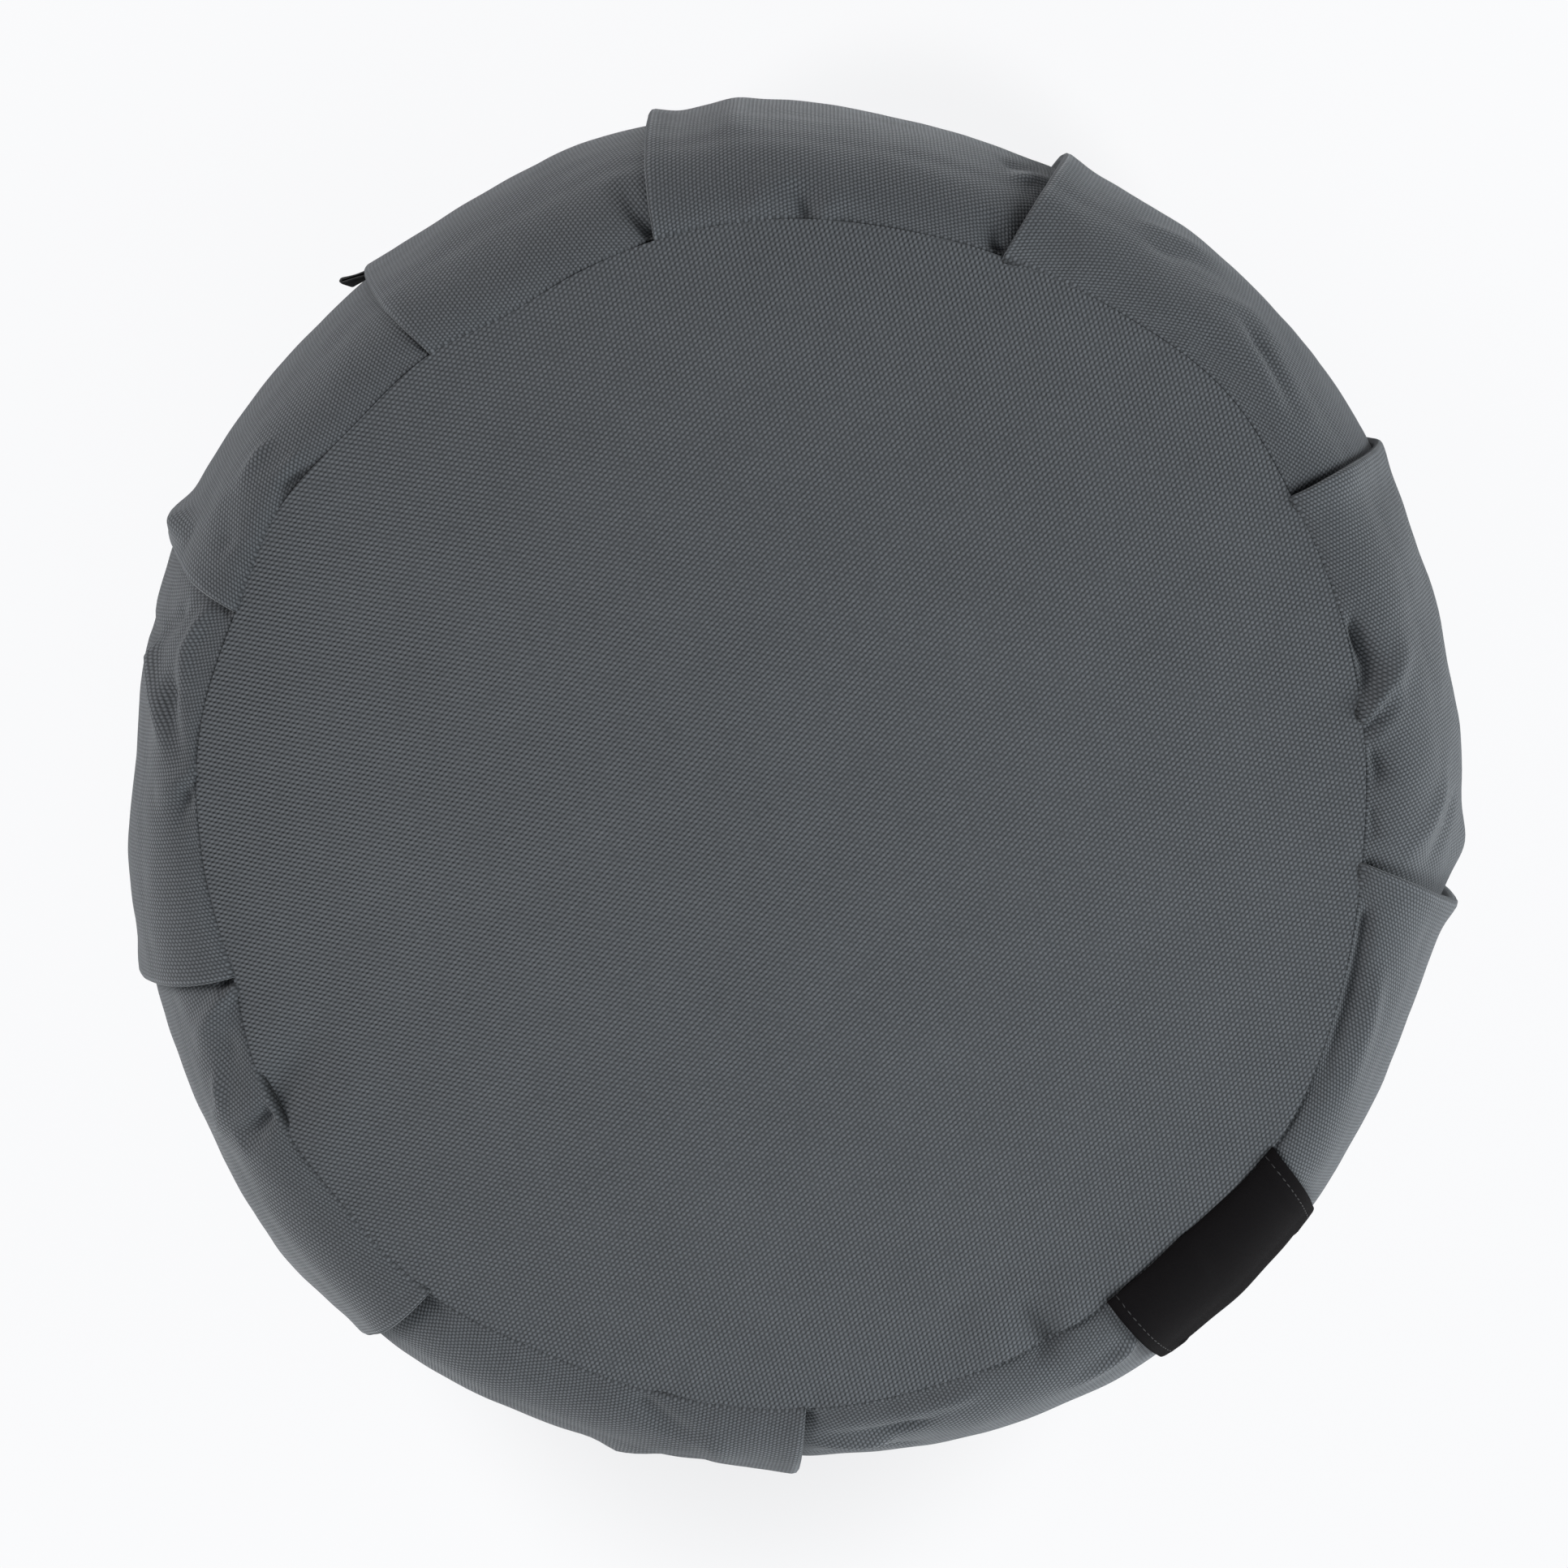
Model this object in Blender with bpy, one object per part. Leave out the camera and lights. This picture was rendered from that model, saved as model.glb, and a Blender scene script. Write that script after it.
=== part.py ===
"""A zafu: a round, filled cushion to sit on, whose pleated side band joins two round panels.

The frame is metres with +Z up. The cushion rests on z = 0 and its axis is the Z axis.
Bearings are degrees clockwise from +Y, as seen from above. A level is the angle up or down
the bulging wall: 90 at the top seam, 0 where the wall is widest and -90 at the bottom seam.
"""

import math
from typing import NamedTuple

import bmesh
import bpy
import numpy as np

MM = 0.001

# Driving dimensions of the filled body
BOTTOM_SEAM_HEIGHT = 6.0 * MM
SEAM_TO_SEAM = 144.0 * MM
CROWN = 13.0 * MM
WALL_LENGTH = 168.0 * MM
WALL_RADIUS = 170.0 * MM
SHOULDER_PUFF = 1.6 * MM
SHOULDER_REACH = 36.0 * MM

# Cloth and the gaps between pieces
CLOTH = 2.0 * MM
GAP = 0.3 * MM
SEAM_GAP = 0.5 * MM

# Pleats
TUCK_DEPTH = 11.0 * MM
FLAP_SHARE = 0.62
NOSE_SHARE = 0.31
STEP_FADE = 24.0 * MM
NOSE_FADE = 5.0 * MM
SEAM_FADE = 4.0

# Bottom panel
FLAT_SHARE = 0.8

# Side label
LABEL_BEARING = 134.9
LABEL_WIDTH = 55.0 * MM
LABEL_START = 0.004
LABEL_DROP = 42.0 * MM
LABEL_SEAM_SPREAD = 1.22
LABEL_LEAN = 1.4
LABEL_WIDE_RADIUS = 175.4 * MM
LABEL_SLANT = 2.4 * MM
LABEL_CLOTH = 1.2 * MM
LABEL_CLEARANCE = 0.7 * MM
LABEL_FLARE = 0.3 * MM
LABEL_CORNER_FLARE = 0.9 * MM

# Folded tape beside the pleat at the upper left
TAPE_ROOT_BEARING = 321.1
TAPE_ROOT_RADIUS = 175.1 * MM
TAPE_HEIGHT = 76.0 * MM
TAPE_WIDTH = 18.0 * MM
TAPE_CLOTH = 0.8 * MM
TAPE_REACH = 7.0 * MM
TAPE_SLOT = 0.3 * MM
TAPE_TURN = 19.0

# How finely the curved pieces are cut
LEVELS = (90, 84, 77, 69, 60, 50, 39, 27, 14, 0, -14, -27, -39, -50, -60, -69, -77, -84, -90)
ALONG = (0.0, 0.03, 0.09, 0.16, 0.24, 0.32, 0.41, 0.5, 0.59, 0.68, 0.77, 0.86, 0.94)
CROWN_RINGS = (1.0, 0.88, 0.62, 0.32)
PANEL_SEGMENTS = 64


class Pleat(NamedTuple):
    """A knife pleat, and the stretch of band from its fold to the next one clockwise.

    Bearings are of the fold at the seams and at the widest level. The radii in millimetres are
    of the seam, at the fold and at each third of the way to the next, and of the wall where it
    is widest: at the fold, at each quarter of the stretch, and where the stretch goes under the
    next flap. The nose is how far the fold's edge swells, and the step how far the flap lies
    over the stretch before it near the seams.
    """

    seam_bearing: float
    wide_bearing: float
    seam_at_fold: float
    seam_third: float
    seam_two_thirds: float
    fold: float
    quarter: float
    half: float
    three_quarters: float
    tucked: float
    nose: float
    step: float


PLEATS = (
    Pleat(347.5, 349.0, 146.6, 148.2, 148.2, 180.4, 180.3, 178.2, 177.3, 177.0, 0.6, 1.6),
    Pleat(20.8, 23.6, 148.7, 149.4, 150.8, 180.0, 179.6, 179.1, 177.8, 176.6, 0.8, 1.8),
    Pleat(56.7, 58.8, 147.4, 145.2, 143.5, 177.6, 175.8, 175.2, 175.9, 172.6, 1.4, 1.7),
    Pleat(93.7, 99.1, 142.1, 143.3, 145.6, 175.2, 172.3, 173.0, 174.3, 173.8, 1.4, 1.8),
    Pleat(136.0, 139.0, 143.0, 145.2, 146.6, 175.2, 177.6, 176.8, 174.9, 174.9, 0.2, 0.7),
    Pleat(178.3, 179.4, 148.2, 148.0, 147.1, 178.4, 178.2, 178.1, 179.8, 179.5, 0.8, 1.6),
    Pleat(217.3, 219.5, 148.8, 146.9, 146.8, 181.0, 181.2, 178.2, 175.6, 174.2, 0.6, 1.9),
    Pleat(254.6, 255.8, 143.0, 145.1, 146.7, 176.6, 174.6, 171.2, 172.9, 174.4, 0.7, 1.6),
    Pleat(291.4, 293.8, 145.4, 146.8, 144.4, 174.6, 174.9, 174.3, 173.9, 173.6, 0.2, 1.8),
    Pleat(323.3, 321.6, 144.6, 142.4, 144.5, 175.7, 175.3, 176.6, 178.0, 178.5, 0.2, 1.1),
)


class Wrinkle(NamedTuple):
    """A soft ridge of the wall, or a trough where its height is negative.

    It lies on the stretch that one pleat begins and runs between two places, each a bearing and
    a fall from 0 at the top seam to 1 at the bottom one. Half width and height are millimetres.
    """

    pleat: int
    bearing_from: float
    fall_from: float
    bearing_to: float
    fall_to: float
    half_width: float
    height: float


WRINKLES = (
    Wrinkle(0, 2.2, 0.01, 1.6, 0.10, 4.0, -1.2),
    Wrinkle(1, 42.0, 0.12, 49.0, 0.05, 7.0, -2.0),
    Wrinkle(1, 29.0, 0.38, 44.5, 0.30, 7.0, 1.2),
    Wrinkle(2, 72.0, 0.05, 76.0, 0.04, 5.0, -2.6),
    Wrinkle(2, 77.5, 0.02, 73.5, 0.14, 4.5, 1.6),
    Wrinkle(2, 82.0, 0.04, 84.0, 0.03, 5.0, -2.2),
    Wrinkle(2, 80.0, 0.02, 77.0, 0.12, 4.5, 1.4),
    Wrinkle(2, 93.0, 0.30, 93.5, 0.62, 8.0, 1.7),
    Wrinkle(3, 101.0, 0.02, 120.0, 0.03, 5.0, -1.6),
    Wrinkle(3, 104.0, 0.08, 117.0, 0.11, 6.0, 1.2),
    Wrinkle(4, 153.5, 0.01, 153.0, 0.08, 4.5, -1.6),
    Wrinkle(5, 195.5, 0.27, 190.0, 0.14, 6.0, 1.1),
    Wrinkle(6, 242.0, 0.06, 238.5, 0.05, 5.0, -2.2),
    Wrinkle(6, 245.0, 0.12, 239.5, 0.28, 6.0, 1.3),
    Wrinkle(7, 285.5, 0.17, 277.0, 0.04, 5.5, -2.8),
    Wrinkle(7, 290.0, 0.12, 283.0, 0.07, 5.0, 1.8),
    Wrinkle(7, 282.0, 0.24, 276.5, 0.10, 5.0, 1.8),
    Wrinkle(7, 272.0, 0.04, 268.5, 0.03, 5.5, -2.6),
    Wrinkle(7, 274.6, 0.02, 271.5, 0.12, 4.5, 1.6),
    Wrinkle(8, 295.4, 0.22, 295.4, 0.52, 4.5, 3.4),
    Wrinkle(8, 303.5, 0.12, 299.5, 0.09, 6.0, 1.4),
    Wrinkle(9, 344.8, 0.06, 343.5, 0.14, 4.0, -1.4),
)

TOP_SEAM_HEIGHT = BOTTOM_SEAM_HEIGHT + SEAM_TO_SEAM
MIDDLE_HEIGHT = BOTTOM_SEAM_HEIGHT + SEAM_TO_SEAM / 2
QUARTERS = np.linspace(0.0, 1.0, 5)


def smooth_through(knots, values, at):
    """The value at each place of a smooth curve through the knots' values; the knots rise."""
    knots = np.asarray(knots, float)
    values = np.asarray(values, float)
    slopes = np.gradient(values, knots)
    i = np.clip(np.searchsorted(knots, at, side="right") - 1, 0, len(knots) - 2)
    span = knots[i + 1] - knots[i]
    t = (at - knots[i]) / span
    start = (2 * t**3 - 3 * t**2 + 1) * values[i] + (t**3 - 2 * t**2 + t) * span * slopes[i]
    end = (3 * t**2 - 2 * t**3) * values[i + 1] + (t**3 - t**2) * span * slopes[i + 1]
    return start + end


def seam_knots():
    """Bearings and radii of the seam at the folds and thirds between, round more than once."""
    bearings = []
    radii = []
    for index, pleat in enumerate(PLEATS):
        third = stretch_span(index, "seam_bearing") / 3
        bearings += [pleat.seam_bearing + third * step for step in range(3)]
        radii += [pleat.seam_at_fold, pleat.seam_third, pleat.seam_two_thirds]
    turns = np.array(bearings) % 360
    order = np.argsort(turns)
    turns = turns[order]
    radii = np.array(radii)[order] * MM
    return np.concatenate([turns - 360, turns, turns + 360]), np.tile(radii, 3)


def stretch_span(index, column):
    """How many degrees lie between a pleat's fold and the next one, clockwise."""
    following = PLEATS[(index + 1) % len(PLEATS)]
    return (getattr(following, column) - getattr(PLEATS[index], column)) % 360


SEAM_BEARINGS, SEAM_RADII = seam_knots()


def seam_radius(bearing):
    """Radius of both seams at a bearing."""
    return smooth_through(SEAM_BEARINGS, SEAM_RADII, np.asarray(bearing) % 360)


def profile(seam, wide, level, proud):
    """Distance from the axis and height of the wall at a level, that far proud of its surface."""
    angle = math.radians(level)
    bulge = wide - seam
    out = seam + bulge * max(math.cos(angle), 0.0)
    height = MIDDLE_HEIGHT + SEAM_TO_SEAM / 2 * math.sin(angle)
    normal_out = SEAM_TO_SEAM / 2 * math.cos(angle)
    normal_up = bulge * math.sin(angle)
    length = np.hypot(normal_out, normal_up)
    return out + proud * normal_out / length, height + proud * normal_up / length


def shoulder_puff(fall):
    """How far the wall swells beside either seam, at a fall from the top seam to the bottom one."""
    share = min(min(fall, 1.0 - fall) * WALL_LENGTH / SHOULDER_REACH, 1.0)
    return 4 * SHOULDER_PUFF * share * (1 - share)


def on_bearing(bearing, out, height):
    """Points at these bearings, distances from the axis and heights, one in each row."""
    turn = np.radians(bearing)
    return np.stack([out * np.sin(turn), out * np.cos(turn), np.broadcast_to(height, turn.shape)], -1)


def wrinkle_height(index, bearing, fall):
    """How far the wrinkles of one stretch stand proud at a bearing and a fall."""
    total = np.zeros_like(bearing)
    for wrinkle in WRINKLES:
        if wrinkle.pleat != index:
            continue
        to_metres = np.array([math.radians(1) * WALL_RADIUS, WALL_LENGTH])
        start = np.array([0.0, wrinkle.fall_from]) * to_metres
        turn = (wrinkle.bearing_to - wrinkle.bearing_from + 180) % 360 - 180
        run = np.array([turn, wrinkle.fall_to - wrinkle.fall_from]) * to_metres
        across = (bearing - wrinkle.bearing_from + 180) % 360 - 180
        place = np.stack([across, np.full_like(across, fall)], -1) * to_metres - start
        share = np.clip(place @ run / (run @ run), 0.0, 1.0)
        distance = np.linalg.norm(place - share[:, None] * run, axis=1)
        total += wrinkle.height * MM * np.exp(-((distance / (wrinkle.half_width * MM)) ** 2))
    return total


def stretch_points(index, along, level):
    """Points of one stretch's outer face, where along runs from 0 at its fold to 1 at the next."""
    along = np.asarray(along, float)
    pleat = PLEATS[index]
    following = PLEATS[(index + 1) % len(PLEATS)]
    swing = max(math.cos(math.radians(level)), 0.0)
    at_seam = pleat.seam_bearing + along * stretch_span(index, "seam_bearing")
    at_wide = pleat.wide_bearing + along * stretch_span(index, "wide_bearing")
    bearing = at_seam + ((at_wide - at_seam + 180) % 360 - 180) * swing
    wide_radii = (pleat.fold, pleat.quarter, pleat.half, pleat.three_quarters, pleat.tucked)
    wide = smooth_through(QUARTERS, wide_radii, along) * MM

    length = math.radians(stretch_span(index, "seam_bearing")) * WALL_RADIUS
    from_fold = along * length
    to_next = length - from_fold
    near_seam = 1.0 - math.exp(-(90.0 - abs(level)) / SEAM_FADE)
    steep = math.sin(math.radians(level)) ** 2
    proud = pleat.step / 2 * MM * np.exp(-from_fold / STEP_FADE) * steep
    proud -= following.step / 2 * MM * np.exp(-to_next / STEP_FADE) * steep
    proud += pleat.nose * MM * np.exp(-((from_fold / NOSE_FADE) ** 2))
    fall = (90.0 - level) / 180.0
    proud += wrinkle_height(index, bearing, fall)
    proud += shoulder_puff(fall)

    out, height = profile(seam_radius(at_seam), wide, level, proud * near_seam)
    return on_bearing(bearing, out, height)


def tuck_points(index, level):
    """Points of a pleat's tuck, from the stretch before it, in under the flap and back out."""
    before = (index - 1) % len(PLEATS)
    mouth = stretch_points(before, [1.0], level)[0]
    length = math.radians(stretch_span(index, "seam_bearing")) * WALL_RADIUS
    closing = 0.0 if abs(level) >= 90 else 1.0
    shares = np.array([0.0, 0.5, 1.0]) * TUCK_DEPTH / length * closing
    face = stretch_points(index, shares, level)
    fold, half_way, deep = face
    inward = mouth - fold
    depth = np.linalg.norm(inward)
    ahead = (half_way - fold) / max(np.linalg.norm(half_way - fold), 1e-9)
    return [
        mouth,
        deep + inward,
        deep + inward * (1 + FLAP_SHARE) / 2 + ahead * depth / 4,
        deep + inward * FLAP_SHARE,
        fold + inward * FLAP_SHARE + ahead * depth * NOSE_SHARE * closing,
        fold + inward * FLAP_SHARE / 2 - ahead * depth * NOSE_SHARE / 2,
    ]


def band_ring(level):
    """Points of the whole band at one level, with each pleat's tuck before its stretch."""
    points = []
    for index in range(len(PLEATS)):
        points += tuck_points(index, level)
        points += list(stretch_points(index, ALONG, level))
    return points


def seam_bearings_along_band():
    """Bearing of each point of a band ring at the seam, where a tuck closes to its fold."""
    bearings = []
    for index, pleat in enumerate(PLEATS):
        span = stretch_span(index, "seam_bearing")
        bearings += [pleat.seam_bearing] * len(tuck_points(index, 0))
        bearings += [pleat.seam_bearing + share * span for share in ALONG]
    return np.array(bearings)


def top_height(share):
    """Height of the top panel's upper face at a share of the way from its middle to the seam."""
    return TOP_SEAM_HEIGHT + CROWN * (1 - np.asarray(share) ** 2.2)


def bottom_height(share):
    """Height of the bottom panel's lower face: flat, then turned up to the seam."""
    rise = np.clip((np.asarray(share) - FLAT_SHARE) / (1 - FLAT_SHARE), 0, 1)
    return BOTTOM_SEAM_HEIGHT * rise**2


def mesh_object(name, bm, base_color, roughness):
    """An object in the scene from a finished mesh, with its own material."""
    bmesh.ops.remove_doubles(bm, verts=bm.verts, dist=0.001 * MM)
    bmesh.ops.recalc_face_normals(bm, faces=bm.faces)
    mesh = bpy.data.meshes.new(name)
    bm.to_mesh(mesh)
    bm.free()
    mesh.shade_smooth()
    mesh.set_sharp_from_angle(angle=math.radians(50))
    material = bpy.data.materials.new(name)
    material.use_nodes = True
    shader = material.node_tree.nodes["Principled BSDF"]
    shader.inputs["Base Color"].default_value = (*base_color, 1.0)
    shader.inputs["Roughness"].default_value = roughness
    shader.inputs["Metallic"].default_value = 0.0
    mesh.materials.append(material)
    thing = bpy.data.objects.new(name, mesh)
    bpy.context.scene.collection.objects.link(thing)
    return thing


def add_ring(bm, points):
    """Vertices at these points."""
    return [bm.verts.new(point) for point in points]


def join_rings(bm, lower, upper):
    """A closed strip of faces between two rings with as many vertices."""
    count = len(lower)
    for i in range(count):
        j = (i + 1) % count
        bm.faces.new((lower[i], lower[j], upper[j], upper[i]))


def close_with_fan(bm, ring, point):
    """Triangles from a ring to one point in its middle."""
    middle = bm.verts.new(point)
    for i, vert in enumerate(ring):
        bm.faces.new((vert, ring[(i + 1) % len(ring)], middle))


def build_side_band():
    """The filled band: its wall, and the hollows at top and bottom that take the panels."""
    bm = bmesh.new()
    rings = [add_ring(bm, band_ring(level)) for level in LEVELS]
    for upper, lower in zip(rings, rings[1:]):
        join_rings(bm, lower, upper)

    bearings = seam_bearings_along_band()
    hollow = seam_radius(bearings) - SEAM_GAP
    drop = CLOTH + GAP
    above = rings[0]
    for share in CROWN_RINGS:
        ring = add_ring(bm, on_bearing(bearings, hollow * share, top_height(share) - drop))
        join_rings(bm, ring, above)
        above = ring
    close_with_fan(bm, above, (0, 0, top_height(0) - drop))

    below = rings[-1]
    for share in (1.0, FLAT_SHARE):
        ring = add_ring(bm, on_bearing(bearings, hollow * share, bottom_height(share) + drop))
        join_rings(bm, below, ring)
        below = ring
    close_with_fan(bm, below, (0, 0, bottom_height(0) + drop))
    return mesh_object("side_band", bm, (0.088, 0.094, 0.104), 0.9)


def build_panel(name, shares, height_of, thickness_up):
    """A round panel: two faces a cloth's thickness apart, joined at the edge."""
    bm = bmesh.new()
    bearings = np.arange(PANEL_SEGMENTS) * 360 / PANEL_SEGMENTS
    edge = seam_radius(bearings) - SEAM_GAP - GAP
    middles = []
    for rise in (0.0, thickness_up):
        rings = [
            add_ring(bm, on_bearing(bearings, edge * share, height_of(share) + rise))
            for share in shares
        ]
        for outer, inner in zip(rings, rings[1:]):
            join_rings(bm, outer, inner)
        middles.append(rings)
    for rings, rise in zip(middles, (0.0, thickness_up)):
        close_with_fan(bm, rings[-1], (0, 0, height_of(0) + rise))
    join_rings(bm, middles[0][0], middles[1][0])
    return mesh_object(name, bm, (0.088, 0.094, 0.104), 0.9)


def build_side_label():
    """The black label, caught in the top seam, lying over the wall and standing off at its end."""
    bm = bmesh.new()
    widths = np.linspace(-0.5, 0.5, 13)
    drops = np.linspace(0.0, 1.0, 9)
    faces = []
    for outward in (0.0, LABEL_CLOTH):
        rows = []
        for drop in drops:
            fall = LABEL_START + drop * LABEL_DROP / WALL_LENGTH
            level = 90 - 180 * fall
            spread = np.degrees(widths * LABEL_WIDTH / WALL_RADIUS)
            bearing = LABEL_BEARING + LABEL_LEAN * drop
            bearing = bearing + spread * (LABEL_SEAM_SPREAD + (1 - LABEL_SEAM_SPREAD) * drop)
            wide = LABEL_WIDE_RADIUS + LABEL_SLANT * widths
            clearance = LABEL_CLEARANCE + shoulder_puff(fall) + LABEL_FLARE * drop**2
            clearance = clearance + LABEL_CORNER_FLARE * drop**2 * (2 * widths) ** 4
            out, height = profile(seam_radius(bearing), wide, level, clearance + outward)
            rows.append(add_ring(bm, on_bearing(bearing, out, height)))
        faces.append(rows)
    for rows in faces:
        for upper, lower in zip(rows, rows[1:]):
            for i in range(len(widths) - 1):
                bm.faces.new((upper[i], upper[i + 1], lower[i + 1], lower[i]))
    inner_edge, outer_edge = (border_of(rows) for rows in faces)
    join_rings(bm, inner_edge, outer_edge)
    return mesh_object("side_label", bm, (0.010, 0.009, 0.010), 0.8)


def border_of(rows):
    """The vertices round the edge of a grid, in order."""
    left = [row[0] for row in rows[-2:0:-1]]
    right = [row[-1] for row in rows[1:-1]]
    return rows[0] + right + rows[-1][::-1] + left


def build_tape_loop():
    """The folded tape: out along the wall, round the fold and back, a little apart."""
    pitch = TAPE_CLOTH + TAPE_SLOT
    turn = [math.radians(angle) for angle in range(0, 181, 30)]
    outer_turn = [(TAPE_REACH + (pitch / 2 + TAPE_CLOTH / 2) * math.sin(a), math.cos(a)) for a in turn]
    inner_turn = [(TAPE_REACH + TAPE_SLOT / 2 * math.sin(a), math.cos(a)) for a in reversed(turn)]
    outer = [(0.0, 1.0)] + outer_turn + [(0.0, -1.0)]
    inner = [(0.0, -1.0)] + inner_turn + [(0.0, 1.0)]
    outline = [(x, y * (pitch / 2 + TAPE_CLOTH / 2)) for x, y in outer]
    outline += [(x, y * TAPE_SLOT / 2) for x, y in inner]

    bearing = math.radians(TAPE_ROOT_BEARING)
    root = np.array([math.sin(bearing), math.cos(bearing)]) * TAPE_ROOT_RADIUS
    heading = bearing - math.radians(90 - TAPE_TURN)
    away = np.array([math.sin(heading), math.cos(heading)])
    side = np.array([away[1], -away[0]])
    bm = bmesh.new()
    ends = []
    for height in (TAPE_HEIGHT - TAPE_WIDTH / 2, TAPE_HEIGHT + TAPE_WIDTH / 2):
        ends.append(add_ring(bm, [(*(root + away * x + side * y), height) for x, y in outline]))
    join_rings(bm, *ends)
    for end in ends:
        bm.faces.new(end)
    bmesh.ops.triangulate(bm, faces=[face for face in bm.faces if len(face.verts) > 4])
    return mesh_object("tape_loop", bm, (0.012, 0.012, 0.012), 0.7)


def main():
    for thing in list(bpy.data.objects):
        bpy.data.objects.remove(thing)
    build_side_band()
    build_panel("top_panel", CROWN_RINGS, top_height, -CLOTH)
    build_panel("bottom_panel", (1.0, 0.9, FLAT_SHARE), bottom_height, CLOTH)
    build_side_label()
    build_tape_loop()


main()
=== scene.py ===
"""The looks of a zafu: a round, filled cushion of dark grey canvas with a pleated side band.

The frame is metres with +Z up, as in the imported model. Bearings are degrees clockwise from +Y,
seen from above. A level is the angle up or down the bulging wall: 90 at the top seam, 0 where the
wall is widest and -90 at the bottom seam. A fall is the same way as a share, from 0 to 1.
"""

from __future__ import annotations

import logging
import math
from collections.abc import Callable
from dataclasses import dataclass, field
from enum import Enum
from typing import Any, NamedTuple

import bmesh
import bpy
import numpy as np
from mathutils import Matrix, Vector
from mathutils.bvhtree import BVHTree

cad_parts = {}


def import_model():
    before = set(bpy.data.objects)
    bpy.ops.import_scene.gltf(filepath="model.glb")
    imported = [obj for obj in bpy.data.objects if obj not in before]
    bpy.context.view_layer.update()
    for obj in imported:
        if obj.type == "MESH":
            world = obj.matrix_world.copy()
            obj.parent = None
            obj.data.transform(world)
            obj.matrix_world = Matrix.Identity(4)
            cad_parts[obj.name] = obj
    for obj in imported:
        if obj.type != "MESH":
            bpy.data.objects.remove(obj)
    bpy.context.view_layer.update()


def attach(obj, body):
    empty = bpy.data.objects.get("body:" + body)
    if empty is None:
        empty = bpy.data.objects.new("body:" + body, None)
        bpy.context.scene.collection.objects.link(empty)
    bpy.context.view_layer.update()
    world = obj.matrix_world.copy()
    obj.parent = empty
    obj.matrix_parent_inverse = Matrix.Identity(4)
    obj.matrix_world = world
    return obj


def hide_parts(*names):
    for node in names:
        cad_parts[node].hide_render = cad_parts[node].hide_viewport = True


LOG = logging.getLogger("zafu")
MM = 0.001
BODY = "root"


class Side(Enum):
    """Which of the two round panels a piece belongs to."""

    TOP = "top_panel"
    BOTTOM = "bottom_panel"


class Pleat(NamedTuple):
    """A knife pleat, and the stretch of band from its fold to the next one clockwise.

    Bearings are of the fold at the seams and at the widest level. The radii in millimetres are
    of the seam, at the fold and at each third of the way to the next, and of the wall where it
    is widest: at the fold, at each quarter of the stretch, and where the stretch goes under the
    next flap. The nose is how far the fold's edge swells, and the step how far the flap lies
    over the stretch before it near the seams.
    """

    seam_bearing: float
    wide_bearing: float
    seam_at_fold: float
    seam_third: float
    seam_two_thirds: float
    fold: float
    quarter: float
    half: float
    three_quarters: float
    tucked: float
    nose: float
    step: float


PLEATS = (
    Pleat(347.5, 349.0, 146.6, 148.2, 148.2, 180.4, 180.3, 178.2, 177.3, 177.0, 0.6, 1.6),
    Pleat(20.8, 23.6, 148.7, 149.4, 150.8, 180.0, 179.6, 179.1, 177.8, 176.6, 0.8, 1.8),
    Pleat(56.7, 58.8, 147.4, 145.2, 143.5, 177.6, 175.8, 175.2, 175.9, 172.6, 1.4, 1.7),
    Pleat(93.7, 99.1, 142.1, 143.3, 145.6, 175.2, 172.3, 173.0, 174.3, 173.8, 1.4, 1.8),
    Pleat(136.0, 139.0, 143.0, 145.2, 146.6, 175.2, 177.6, 176.8, 174.9, 174.9, 0.2, 0.7),
    Pleat(178.3, 180.1, 148.2, 148.0, 147.1, 178.4, 178.2, 178.1, 179.8, 179.5, 0.8, 1.6),
    Pleat(217.3, 219.5, 148.8, 146.9, 146.8, 181.0, 181.2, 178.2, 175.6, 174.2, 0.6, 1.9),
    Pleat(254.6, 255.8, 143.0, 145.1, 146.7, 176.6, 174.6, 171.2, 172.9, 174.4, 0.7, 1.6),
    Pleat(291.4, 293.8, 145.4, 146.8, 144.4, 174.6, 174.9, 174.3, 173.9, 173.6, 0.2, 1.8),
    Pleat(323.3, 321.6, 144.6, 142.4, 144.5, 175.7, 175.3, 176.6, 178.0, 178.5, 0.2, 1.1),
)


class Crease(NamedTuple):
    """A soft ridge of the wall, or a trough where its height is negative.

    It lies on the stretch that one pleat begins and runs through three places, each a bearing
    and a fall. Half width and height are millimetres.
    """

    stretch: int
    start: tuple[float, float]
    middle: tuple[float, float]
    end: tuple[float, float]
    half_width: float
    height: float


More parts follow.
